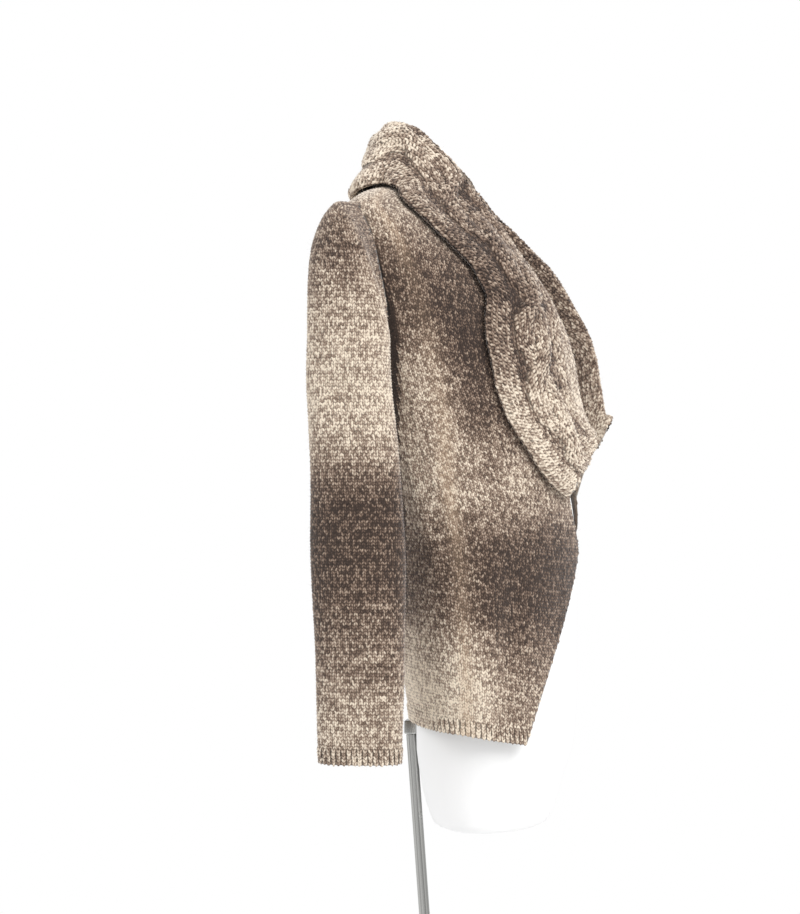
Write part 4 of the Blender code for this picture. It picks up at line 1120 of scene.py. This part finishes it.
def make_yarn(name, colours, contrast, painted_shade_and_paleness=1.0):
    """A wool finish with its colours scaled: darker yarn for the ground under the stitches is painted shade,
    and paler yarn for the hairs.
    """
    material, tree, shader = new_material(name)
    marl = node(tree, "ShaderNodeGroup", node_tree=shared(make_marl, "marl"), inputs={"Contrast": contrast})
    for label in ("Tone", "Yarn", "Nap", "Peak", "Cloth"):
        read = node(tree, "ShaderNodeAttribute", attribute_name=label.lower())
        connect(tree, marl, {label: read.outputs["Vector" if label == "Cloth" else "Fac"]})
    for label in YARN_COLOURS:
        colour = getattr(colours, label.lower())
        connect(tree, marl, {label: [part * painted_shade_and_paleness for part in colour] + [1.0]})
    normal = bump(tree, marl.outputs["Height"], strength=0.35, distance=0.0006)
    connect(tree, shader, {"Base Color": marl.outputs["Colour"], "Normal": normal, **WOOL})
    return material


def make_form_white(name, colours):
    """Moulded plastic with a faint orange peel."""
    material, tree, shader = new_material(name)
    peel = noise(tree, object_place(tree), scale=260.0, detail=2.0)
    wear = noise(tree, object_place(tree), scale=9.0, detail=3.0)
    connect(tree, shader, {"Base Color": [*colours.form, 1.0],
                           "Normal": bump(tree, peel, strength=0.06, distance=0.0004),
                           "Roughness": spread_to(tree, wear, low=0.42, high=0.58)})
    return material


def make_polished(name, colour):
    """Polished steel with streaks along the leaning rod."""
    return make_steel(name, colour, tilt=radians(ROD_TILT), grain=(420.0, 420.0, 1.5), rough=(0.10, 0.22),
                      dull=0.28)


def make_brushed(name, colour):
    """Steel that is brushed round the turned base."""
    return make_steel(name, colour, tilt=0.0, grain=(90.0, 90.0, 2200.0), rough=(0.24, 0.36), dull=0.80)


def make_steel(name, colour, tilt, grain, rough, dull):
    """Grain is how fine the streaks are on each axis, and dull is the streaks' share of the colour."""
    material, tree, shader = new_material(name)
    upright = node(tree, "ShaderNodeVectorRotate", rotation_type="X_AXIS",
                   inputs={"Vector": object_place(tree), "Angle": tilt})
    streak = noise(tree, stretched(tree, upright.outputs[0], grain), scale=1.0, detail=4.0)
    dark = (*(value * dull for value in colour), 1.0)
    shine = share_of(tree, streak, low=0.32, high=0.66)
    connect(tree, shader, {"Base Color": blend(tree, shine, dark, (*colour, 1.0)),
                           "Roughness": spread_to(tree, streak, *rough), "Metallic": 1.0})
    return material


def make_floor(name):
    material, tree, shader = new_material(name)
    cloud = noise(tree, object_place(tree), scale=3.0, detail=4.0)
    connect(tree, shader, {"Base Color": (0.90, 0.90, 0.90, 1.0),
                           "Roughness": spread_to(tree, cloud, low=0.85, high=0.95)})
    return material


def shared(make, name, *values):
    """A tree or a material, made on its first use."""
    for made in (bpy.data.node_groups, bpy.data.materials):
        if name in made:
            return made[name]
    return make(name, *values)


# ---------------------------------------------------------------- meshes

def new_object(name, data):
    thing = bpy.data.objects.new(name, data)
    bpy.context.scene.collection.objects.link(thing)
    return thing


def paint(thing, material):
    thing.data.materials.clear()
    thing.data.materials.append(material)


def store(mesh, name, values):
    """Write a number or a vector for each point of a mesh."""
    kind, part = ("FLOAT_VECTOR", "vector") if values.ndim == 2 else ("FLOAT", "value")
    mesh.attributes.new(name, kind, "POINT").data.foreach_set(part, values.astype(float).ravel())


def read_vectors(mesh, name):
    values = np.empty(len(mesh.vertices) * 3)
    mesh.attributes[name].data.foreach_get("vector", values)
    return values


def wall_mesh(name, outer, inner, cloth, closed):
    """A closed wall between two grids of points with the same rows and columns.

    The last column of a closed one, such as a sleeve, lies on its first, so it needs no sides there.
    """
    rows, columns = outer.shape[:2]
    count = rows * columns
    index = np.arange(count).reshape(rows, columns)

    def quads(a, b, c, d):
        return np.stack([a.ravel(), b.ravel(), c.ravel(), d.ravel()], -1)

    top = quads(index[:-1, :-1], index[:-1, 1:], index[1:, 1:], index[1:, :-1])
    faces = [top, top[:, ::-1] + count]
    sides = () if closed else (index[:, -1], index[::-1, 0])
    for line in (index[0], index[-1, ::-1], *sides):
        faces.append(quads(line[1:], line[:-1], line[:-1] + count, line[1:] + count))
    mesh = bpy.data.meshes.new(name)
    points = np.concatenate([outer.reshape(-1, 3), inner.reshape(-1, 3)])
    mesh.from_pydata(points.tolist(), [], np.vstack(faces).tolist())
    for field, values in (("tone", cloth.tone), ("nap", cloth.nap), ("yarn", np.full(count, 0.5)),
                          ("peak", np.full(count, 0.5))):
        store(mesh, field, np.tile(values.ravel(), 2))
    store(mesh, "outside", np.repeat([1.0, 0.0], count))
    return mesh


def add_layout(mesh, place):
    """The flat layout of a piece: its own sizes across and along, as a UV map and an attribute."""
    store(mesh, "cloth", np.column_stack([place, np.zeros(len(place))]))
    low, high = place.min(axis=0), place.max(axis=0)
    flat = (place - low) / (high - low).max() * (1 - 2 * LAYOUT_MARGIN) + LAYOUT_MARGIN
    layer = mesh.uv_layers.new(name="OFBake")
    corners = np.empty(len(mesh.loops), int)
    mesh.loops.foreach_get("vertex_index", corners)
    layer.data.foreach_set("uv", flat[corners].ravel())


def tidy_wall(thing):
    """Close the seams of a wall and point its faces outwards."""
    mesh = bmesh.new()
    mesh.from_mesh(thing.data)
    bmesh.ops.remove_doubles(mesh, verts=mesh.verts, dist=MERGE_DISTANCE)
    bmesh.ops.recalc_face_normals(mesh, faces=mesh.faces)
    mesh.to_mesh(thing.data)
    mesh.free()
    thing.data.shade_smooth()


def cloth_shell(name, cloth, half, place, closed=False, arc=0):
    """The thin cloth that lies under the stitches. Half is its half thickness on its outer side.

    An arc rounds the edge of its first column off, in so many steps.
    """
    half = np.broadcast_to(half, cloth.tone.shape)
    inner = cloth.grid - cloth.normals * INSIDE
    if arc:
        cloth, count = wrap_edge(cloth, half, arc, 0)
        outer = cloth.grid
        inner, place = repeat_first(inner, count), repeat_first(place, count)
    else:
        outer = cloth.grid + cloth.normals * half[..., None]
    mesh = wall_mesh(name, outer, inner, cloth, closed)
    flat = place.reshape(-1, 2)
    beside = np.array([np.ptp(flat[:, 0]) + LAYOUT_MARGIN, 0.0])
    add_layout(mesh, np.concatenate([flat, flat + beside]))
    thing = new_object(name, mesh)
    paint(thing, yarns("ground"))
    tidy_wall(thing)
    return thing


def layout_stitches(mesh, legs):
    """Give each leg its own spot of the flat layout, from the point that it grew on."""
    count = len(mesh.vertices) // legs
    place = np.empty(len(mesh.vertices) * 3)
    mesh.vertices.foreach_get("co", place)
    read = [place] + [read_vectors(mesh, name) for name in ("cloth", "leg_out", "leg_lean")]
    place, cloth, out, along = (values.reshape(-1, count, 3) for values in read)
    off = place - place.mean(axis=1, keepdims=True)
    offset = np.stack([np.sum(off * np.cross(along, out), -1), np.sum(off * along, -1)], -1)
    for name in ("leg_out", "leg_lean", "cloth"):
        mesh.attributes.remove(mesh.attributes[name])
    add_layout(mesh, (cloth[..., :2] + offset * LEG_LAYOUT_SCALE).reshape(-1, 2))


def knit(name, groups, seed, chunk=1.0):
    """Grow the legs of a piece's stitches. Chunk is how many times thicker its yarn is."""
    sizes = bpy.context.scene.cardigan_cloth
    points = stitch_legs(name, groups, sizes.leg_lean)
    legs = len(points.vertices)
    values = {"Leg Width": sizes.leg_width * chunk, "Leg Length": sizes.leg_length * chunk,
              "Leg Height": sizes.leg_height * chunk, "Seed": seed, "Material": yarns("stitches")}
    thing = grow(points, name, shared(make_stitch_tree, "stitch legs"), values)
    layout_stitches(thing.data, legs)
    return thing


def grow_hairs(name, shell, seed):
    """Grow the loose hairs of a piece from its shell."""
    sizes = bpy.context.scene.cardigan_cloth
    values = {"Hairs per Area": sizes.hairs, "Hair Length": sizes.hair_length,
              "Hair Radius": sizes.hair_radius, "Seed": seed, "Material": yarns("hairs")}
    thing = grow(shell.data.copy(), name, shared(make_nap_tree, "wool hairs"), values)
    outside = thing.data.attributes.get("outside")
    if outside:
        thing.data.attributes.remove(outside)
    return thing


def yarns(use):
    """The wool material of the stitches, of the ground under them or of the loose hairs."""
    colours = bpy.context.scene.cardigan_colours
    # the ground's darker yarn is painted shade between the legs; the hairs' yarn is paler
    contrast, painted_shade_and_paleness = {"stitches": (colours.contrast, 1.0), "ground": (0.5, 0.45), "hairs": (0.5, 1.15)}[use]
    return shared(make_yarn, f"marl {use}", colours, contrast, painted_shade_and_paleness)


def panel_layout(cloth, origin):
    """Sizes across and along at each point of a grid."""
    across = lengths_across(cloth.grid, origin)
    steps = np.linalg.norm(np.diff(cloth.grid, axis=0), axis=2).mean(axis=1)
    along = np.concatenate(([0.0], np.cumsum(steps)))[:, None]
    return np.stack([across, np.broadcast_to(along, across.shape)], -1)


def repeat_first(values, count):
    """Repeat a grid's first column that many times in front of it."""
    return np.concatenate([np.repeat(values[:, :1], count, axis=1), values], axis=1)


def wrap_edge(cloth, half, arc, back):
    """The outer skin of a cloth that goes on round its first column's edge and back underneath."""
    grid, normals = cloth.grid, cloth.normals
    edge, normal = grid[:, 0], normals[:, 0]
    off = unit(edge - grid[:, 1])
    off = unit(off - normal * np.sum(off * normal, axis=1, keepdims=True))
    points = [grid[:, k] - normals[:, k] * half[:, k, None] for k in range(back, 0, -1)]
    outs = [-normals[:, k] for k in range(back, 0, -1)]
    for turn in np.linspace(pi, 0.0, arc)[:-1]:
        out = cos(turn) * normal + sin(turn) * off
        points.append(edge + out * half[:, :1])
        outs.append(out)
    count = len(points)
    skin = np.concatenate([np.stack(points, 1), grid + normals * half[..., None]], axis=1)
    outs = np.concatenate([np.stack(outs, 1), normals], axis=1)
    return Cloth(skin, outs, repeat_first(cloth.tone, count), repeat_first(cloth.nap, count)), count


def half_panel(side, start, end, rows, columns):
    """A grid of the body's cloth between two edges that are given as functions of height."""
    heights = body_heights(rows)
    share = np.linspace(0.0, 1.0, columns)[None, :]
    angles = side * (start(heights)[:, None] * (1 - share) + end(heights)[:, None] * share)
    cloth = panel_cloth(angles, heights)
    middle = cloth.grid.mean(axis=(0, 1)) * np.array([0.0, 0.0, 1.0])
    facing = np.sum((cloth.grid - middle) * cloth.normals * np.array([1.0, 1.0, 0.0]), axis=-1).mean()
    return cloth if facing > 0 else cloth._replace(normals=-cloth.normals), heights


def steady(value):
    """A function of height that always gives one value."""
    return lambda height: value + 0 * height


def seam_margin(value):
    """A function of height that gives one value on a seam, and the armhole's margin along the armhole."""
    return lambda height: np.where((height > UNDERARM) & (height < SHOULDER_TIP), ARMHOLE_MARGIN, value)


def ribbed(field, origin, keep=None, first=0.5):
    """The rib's stitches at the lower edge of a field and the plain ones above it."""
    sizes = bpy.context.scene.cardigan_cloth
    ribs = lay_stitches(field, origin, RIB_PITCH, sizes.row, 0.0, RIB_HEIGHT, keep, first)
    plain = lay_stitches(field, origin, sizes.wale, sizes.row, RIB_HEIGHT, HIGHEST, keep, first)
    return [(ribs, RIB_PITCH * RIB_SHARE, WALL / 2 + RIB_STAND), (plain, sizes.wale, WALL / 2 - STITCH_SINK)]


def dress_piece(shell, stitches, wool, node_name):
    """Hand a piece of cloth over to the frame, with its stitches and hairs."""
    for thing in (shell, *stitches, wool):
        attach(thing, BODY_NAME)
    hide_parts(node_name)


# ---------------------------------------------------------------- what a user may change

def length_property(label, description, default):
    return FloatProperty(name=label, description=description, default=default, unit="LENGTH", precision=6)


def angle_property(label, description, default):
    """An angle whose default is given in degrees."""
    return FloatProperty(name=label, description=description, default=radians(default), subtype="ANGLE")


def colour_property(label, description, *default):
    return FloatVectorProperty(name=label, description=description, default=default, subtype="COLOR")


class CARDIGAN_PG_cloth(PropertyGroup):
    """Sizes of the knitting and of its nap."""

    wale: length_property("Wale", "Width of a stitch", 0.0047)
    row: length_property("Row", "Height of a stitch", 0.0033)
    leg_width: length_property("Leg Width", "Width of one leg of a stitch", 0.0027)
    leg_length: length_property("Leg Length", "Length of one leg of a stitch", 0.0056)
    leg_height: length_property("Leg Height", "How far a leg stands up", 0.0013)
    leg_lean: angle_property("Leg Lean", "How far a leg leans from its wale", 24.0)
    hairs: FloatProperty(name="Hairs", description="Loose hairs on each square metre", default=26000.0)
    hair_length: length_property("Hair Length", "Length of the longest hair", 0.008)
    hair_radius: length_property("Hair Radius", "Radius of a hair at its root", 0.00007)


class CARDIGAN_PG_colours(PropertyGroup):
    """Colours of the yarn, the form and the stand."""

    dark: colour_property("Dark Yarn", "Darkest fibres", 0.038, 0.024, 0.018)
    brown: colour_property("Brown Yarn", "Brown fibres", 0.162, 0.106, 0.076)
    taupe: colour_property("Taupe Yarn", "Middle fibres", 0.400, 0.312, 0.240)
    cream: colour_property("Cream Yarn", "Palest fibres", 0.790, 0.690, 0.560)
    rubbed: colour_property("Rubbed Yarn", "Soft fibres of the rubbed band", 0.520, 0.370, 0.245)
    contrast: FloatProperty(name="Fleck", description="How much one leg differs from the next", default=1.0)
    form: colour_property("Dress Form", "The form's plastic", 0.86, 0.86, 0.86)
    steel: colour_property("Steel", "The rod and the base", 0.62, 0.62, 0.60)


class CARDIGAN_PG_studio(PropertyGroup):
    """The camera, the floor and the light."""

    azimuth: angle_property("Azimuth", "Where the camera stands round the part", -83.0)
    distance: length_property("Distance", "From the camera to its target", 3.0)
    target_height: length_property("Target Height", "Height that the camera looks at", 1.205)
    target_back: length_property("Target Depth", "How far behind the stand it looks", 0.076)
    lens: FloatProperty(name="Lens", description="Focal length in millimetres", default=105.5)
    floor_radius: length_property("Floor Radius", "Size of the floor", 3.2)
    key: FloatProperty(name="Key Light", description="Power of the large soft light, in watts", default=70.0)
    sky: FloatProperty(name="Fill Light", description="Strength of the light from all round", default=0.80)
    form_sides: IntProperty(name="Form Sides", description="Columns of the dress form", default=96)


# ---------------------------------------------------------------- operators

class CARDIGAN_OT_body(Operator):
    """Knit the back and the two fronts"""

    bl_idname = "cardigan.body"
    bl_label = "Back and Fronts"

    def knit_panel(self, name, node_name, side, edges, origin, margins, fields, shape, seed):
        """Edges, origin and margins are functions of height, the smaller angle first."""
        low_edge, high_edge = edges
        cloth = half_panel(side, low_edge, high_edge, *shape.grid)[0]
        middle = np.full(shape.grid[0], (shape.grid[1] - 1) / 2)
        shell = cloth_shell(name, cloth, WALL / 2 - GROUND_SINK, panel_layout(cloth, middle))
        legs = []
        for number, (start, end) in enumerate(fields):
            field, heights = half_panel(side, steady(start), steady(end), FIELD_ROWS, FIELD_COLUMNS)
            line = (origin(heights) - start) / (end - start) * (FIELD_COLUMNS - 1)

            def keep(row, col):
                height = np.interp(row, np.arange(FIELD_ROWS), heights)
                angle = start + (end - start) * col / (FIELD_COLUMNS - 1)
                reach = np.linalg.norm(body(angle + 0.5, height) - body(angle - 0.5, height), axis=-1)
                return (((angle - low_edge(height)) * reach > margins[0](height))
                        & ((high_edge(height) - angle) * reach > margins[1](height)))

            groups = ribbed(field, line, keep, shape.first)
            legs.append(knit(f"{name}_stitches_{number + 1}", groups, seed + number))
        wool = grow_hairs(f"{name}_hairs", shell, seed)
        dress_piece(shell, legs, wool, node_name)

    def execute(self, context):
        margin = seam_margin(SEAM_MARGIN)
        self.knit_panel("back_cloth", "back_panel", RIGHT,
                        (back_side_angle, lambda height: 360.0 - back_side_angle(height)),
                        steady(180.0), (margin, margin), fields=((90.0, 180.0), (180.0, 270.0)),
                        shape=PanelShape(grid=(84, 61), flat=(0.47, 0.60), area=None, first=0.5), seed=11)
        for side, word in SIDES:
            self.knit_panel(f"front_{word}_cloth", f"front_{word}", side,
                            (lambda height: front_edge_angle(height, side), front_side_angle), seam_angle,
                            (steady(FRONT_EDGE_MARGIN), seam_margin(FRONT_SEAM_MARGIN)),
                            fields=((4.0, 112.0),), seed=21 + side,
                            shape=PanelShape(grid=(84, 31), flat=(0.26, 0.66), area=0.105, first=0.0))
        return {"FINISHED"}


class CARDIGAN_OT_sleeves(Operator):
    """Knit the two sleeves"""

    bl_idname = "cardigan.sleeves"
    bl_label = "Sleeves"

    def execute(self, context):
        for side, word in SIDES:
            cloth = sleeve_cloth(side, columns=49, cap_rows=20, hanging_rows=64)
            place = panel_layout(cloth, outer_column(cloth))
            shell = cloth_shell(f"sleeve_{word}_cloth", cloth, WALL / 2 - GROUND_SINK, place, closed=True)
            field = sleeve_cloth(side, columns=161, cap_rows=60, hanging_rows=190)
            legs = knit(f"sleeve_{word}_stitches", ribbed(field, outer_column(field)), seed=31 + side)
            wool = grow_hairs(f"sleeve_{word}_hairs", shell, seed=41 + side)
            dress_piece(shell, [legs], wool, f"sleeve_{word}")
        return {"FINISHED"}


class CARDIGAN_OT_collar(Operator):
    """Knit the two halves of the cabled shawl collar"""

    bl_idname = "cardigan.collar"
    bl_label = "Collar"

    def half_thickness(self, from_edge):
        """The outer half of the collar's thickness, plump at the free edge."""
        return COLLAR_WALL / 2 + EDGE_PLUMP * ramp(*PLUMP_REACH, from_edge)

    def execute(self, context):
        sizes = context.scene.cardigan_cloth
        wale, row = sizes.wale * COLLAR_CHUNK, sizes.row * COLLAR_CHUNK
        for side, word in SIDES:
            cloth = collar_cloth(side, back_rows=24, front_rows=140, counts=SHELL_STEPS)
            place = panel_layout(cloth, np.zeros(len(cloth.grid)))
            relief = collar_relief(place[..., 0], fall_run(cloth, SHELL_STEPS[-1])[:, None])
            half = self.half_thickness(place[..., 0]) - COLLAR_GROUND_SINK + relief * GROUND_RELIEF
            shell = cloth_shell(f"collar_{word}_cloth", cloth, half, place, arc=8)
            field = collar_cloth(side, back_rows=30, front_rows=200, counts=FIELD_STEPS)
            from_edge = lengths_across(field.grid, np.zeros(len(field.grid)))
            back = int(np.searchsorted(from_edge.mean(axis=0), EDGE_RETURN))
            skin, count = wrap_edge(field, self.half_thickness(from_edge), arc=9, back=back)
            flat = lay_stitches(skin, np.full(len(skin.grid), float(count)), wale, row)
            raised = raise_stitches(flat, fall_run(field, FIELD_STEPS[-1]), side)
            groups = [(raised, wale, -COLLAR_STITCH_SINK)]
            legs = knit(f"collar_{word}_stitches", groups, seed=51 + side, chunk=COLLAR_CHUNK)
            wool = grow_hairs(f"collar_{word}_hairs", shell, seed=61 + side)
            dress_piece(shell, [legs], wool, f"collar_{word}")
        return {"FINISHED"}


class CARDIGAN_OT_dress_form(Operator):
    """Model the limbless dress form"""

    bl_idname = "cardigan.dress_form"
    bl_label = "Dress Form"

    def execute(self, context):
        sides = context.scene.cardigan_studio.form_sides
        around = np.arange(sides) * 360.0 / sides
        rows = []

        def add_rows(table, heights, drop=0.0, swell=0.0):
            for height in heights:
                rows.append(section_points(table, around, height, np.full(sides, height - drop),
                                           np.full(sides, swell)))

        add_rows(FORM, TORSO_ROWS)
        add_rows(BODY, np.linspace(*FORM_SHOULDERS, SHOULDER_COUNT), drop=FORM_DROP,
                 swell=-(WALL / 2 + FORM_GAP))
        add_rows(NECK, NECK_ROWS)
        mesh = bmesh.new()
        lines = [[mesh.verts.new(point) for point in row] for row in rows]
        for lower, upper in zip(lines, lines[1:]):
            for k in range(sides):
                mesh.faces.new((lower[k], lower[(k + 1) % sides], upper[(k + 1) % sides], upper[k]))
        for line in (lines[0], lines[-1]):
            middle = mesh.verts.new(np.mean([vertex.co for vertex in line], axis=0))
            for k in range(sides):
                mesh.faces.new((line[k], line[(k + 1) % sides], middle))
        bmesh.ops.recalc_face_normals(mesh, faces=mesh.faces)
        data = bpy.data.meshes.new("dress_form_shell")
        mesh.to_mesh(data)
        mesh.free()
        form = new_object("dress_form_shell", data)
        paint(form, shared(make_form_white, "form white", context.scene.cardigan_colours))
        data.shade_smooth()
        data.set_sharp_from_angle(angle=FORM_CREASE)
        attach(form, BODY_NAME)
        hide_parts("dress_form")
        return {"FINISHED"}


class CARDIGAN_OT_stand(Operator):
    """Model the leaning rod and the round base, and finish the socket"""

    bl_idname = "cardigan.stand"
    bl_label = "Stand"

    def turned(self, name, profile, steps, material):
        mesh = bpy.data.meshes.new(name)
        lines = [(k, k + 1) for k in range(len(profile) - 1)]
        mesh.from_pydata([(x, 0.0, z) for x, z in profile], lines, [])
        thing = new_object(name, mesh)
        screw = thing.modifiers.new("turn", "SCREW")
        screw.axis = "Z"
        screw.angle = radians(360.0)
        screw.steps = screw.render_steps = steps
        screw.use_merge_vertices = True
        screw.merge_threshold = SCREW_MERGE
        tidy_wall(as_mesh(thing))
        thing.data.set_sharp_from_angle(angle=STEEL_CREASE)
        paint(thing, material)
        return thing

    def execute(self, context):
        steel = context.scene.cardigan_colours.steel
        polished = shared(make_polished, "polished steel", steel)
        corner = [(BASE_RADIUS - BASE_BEVEL * (1 - sin(radians(a))),
                   BASE_THICKNESS - BASE_BEVEL * (1 - cos(radians(a)))) for a in range(0, 91, 15)]
        boss = [(0.0, BOSS_HEIGHT), (BOSS_RADIUS - BOSS_BEVEL, BOSS_HEIGHT),
                (BOSS_RADIUS - BOSS_BEVEL * 0.3, BOSS_HEIGHT - BOSS_BEVEL * 0.3),
                (BOSS_RADIUS, BOSS_HEIGHT - BOSS_BEVEL), (BOSS_RADIUS, BASE_THICKNESS + FINE_BEVEL),
                (BOSS_RADIUS + FINE_BEVEL, BASE_THICKNESS)]
        base = self.turned("base_plate", boss + corner + [(BASE_RADIUS, 0.0), (0.0, 0.0)], BASE_SIDES,
                           shared(make_brushed, "brushed steel", steel))
        tilt = radians(ROD_TILT)
        foot = BOSS_HEIGHT + CONTACT_GAP + ROD_RADIUS * sin(tilt)
        head = SOCKET_BOTTOM - CONTACT_GAP - ROD_RADIUS * sin(tilt)
        length = (head - foot) / cos(tilt)
        profile = [(0.0, length), (ROD_RADIUS - FINE_BEVEL, length), (ROD_RADIUS, length - FINE_BEVEL),
                   (ROD_RADIUS, FINE_BEVEL), (ROD_RADIUS - FINE_BEVEL, 0.0), (0.0, 0.0)]
        rod = self.turned("leaning_rod", profile, ROD_SIDES, polished)
        for vertex in rod.data.vertices:
            x, y, z = vertex.co
            offset = (foot - BOSS_HEIGHT) * tan(tilt)
            vertex.co = (x, y * cos(tilt) + z * sin(tilt) + offset, z * cos(tilt) - y * sin(tilt) + foot)
        paint(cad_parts["stand_socket"], polished)
        for thing, node_name in ((base, "stand_base"), (rod, "stand_rod")):
            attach(thing, BODY_NAME)
            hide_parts(node_name)
        return {"FINISHED"}


class CARDIGAN_OT_studio(Operator):
    """Set up the floor, the light and the camera"""

    bl_idname = "cardigan.studio"
    bl_label = "Studio"

    def execute(self, context):
        scene, studio = context.scene, context.scene.cardigan_studio
        turn = studio.azimuth
        towards = np.array([-sin(turn), cos(turn), 0.0])
        scene.camera = new_object("camera", bpy.data.cameras.new("camera"))
        scene.camera.data.lens = studio.lens
        scene.camera.data.clip_end = 60.0
        target = np.array([0.0, studio.target_back, studio.target_height])
        scene.camera.location = target - towards * studio.distance
        scene.camera.rotation_euler = (radians(90.0), 0.0, turn)

        mesh = bmesh.new()
        bmesh.ops.create_circle(mesh, cap_ends=True, segments=96, radius=studio.floor_radius)
        floor = new_object("floor", bpy.data.meshes.new("floor"))
        mesh.to_mesh(floor.data)
        mesh.free()
        paint(floor, shared(make_floor, "pale floor"))
        floor.location = (0.0, 0.0, -FLOOR_DROP)

        scene.view_settings.view_transform = "Standard"
        scene.world = bpy.data.worlds.new("studio")
        scene.world.use_nodes = True
        tree = scene.world.node_tree
        sky = tree.nodes["Background"]
        connect(tree, sky, {"Color": (1.0, 1.0, 1.0, 1.0), "Strength": studio.sky})
        seen = node(tree, "ShaderNodeBackground", (1.0, 1.0, 1.0, 1.0), 1.0)
        path = node(tree, "ShaderNodeLightPath")
        mix = node(tree, "ShaderNodeMixShader", path.outputs["Is Camera Ray"], sky.outputs[0],
                   seen.outputs[0])
        connect(tree, tree.nodes["World Output"], {"Surface": mix.outputs[0]})

        for name, place, size, share in LAMPS:
            lamp = new_object(name, bpy.data.lights.new(name, "AREA"))
            lamp.data.size = size
            lamp.data.energy = studio.key * share
            lamp.location = place
            aim = np.array(LAMP_TARGET) - np.array(place)
            lamp.rotation_euler = (np.arctan2(np.hypot(aim[0], aim[1]), -aim[2]), 0.0,
                                   np.arctan2(-aim[0], aim[1]))
        return {"FINISHED"}


class CARDIGAN_PT_panel(Panel):
    """Buttons for each group of pieces"""

    bl_label = "Cardigan"
    bl_idname = "CARDIGAN_PT_panel"
    bl_space_type = "VIEW_3D"
    bl_region_type = "UI"
    bl_category = "Cardigan"

    def draw(self, context):
        for operator in OPERATORS:
            self.layout.operator(operator.bl_idname)
        for word in GROUPS:
            group = getattr(context.scene, f"cardigan_{word}")
            box = self.layout.box()
            for name in group.__annotations__:
                box.prop(group, name)


OPERATORS = (CARDIGAN_OT_studio, CARDIGAN_OT_dress_form, CARDIGAN_OT_stand, CARDIGAN_OT_body,
             CARDIGAN_OT_sleeves, CARDIGAN_OT_collar)
GROUPS = {"cloth": CARDIGAN_PG_cloth, "colours": CARDIGAN_PG_colours, "studio": CARDIGAN_PG_studio}
CLASSES = (*GROUPS.values(), *OPERATORS, CARDIGAN_PT_panel)


def register():
    for item in CLASSES:
        bpy.utils.register_class(item)
    for word, group in GROUPS.items():
        setattr(bpy.types.Scene, f"cardigan_{word}", PointerProperty(type=group))


def unregister():
    for word in GROUPS:
        delattr(bpy.types.Scene, f"cardigan_{word}")
    for item in reversed(CLASSES):
        bpy.utils.unregister_class(item)


def main():
    register()
    bpy.ops.cardigan.studio()
    bpy.ops.cardigan.dress_form()
    bpy.ops.cardigan.stand()
    bpy.ops.cardigan.body()
    bpy.ops.cardigan.sleeves()
    bpy.ops.cardigan.collar()


if __name__ == "__main__":
    main()
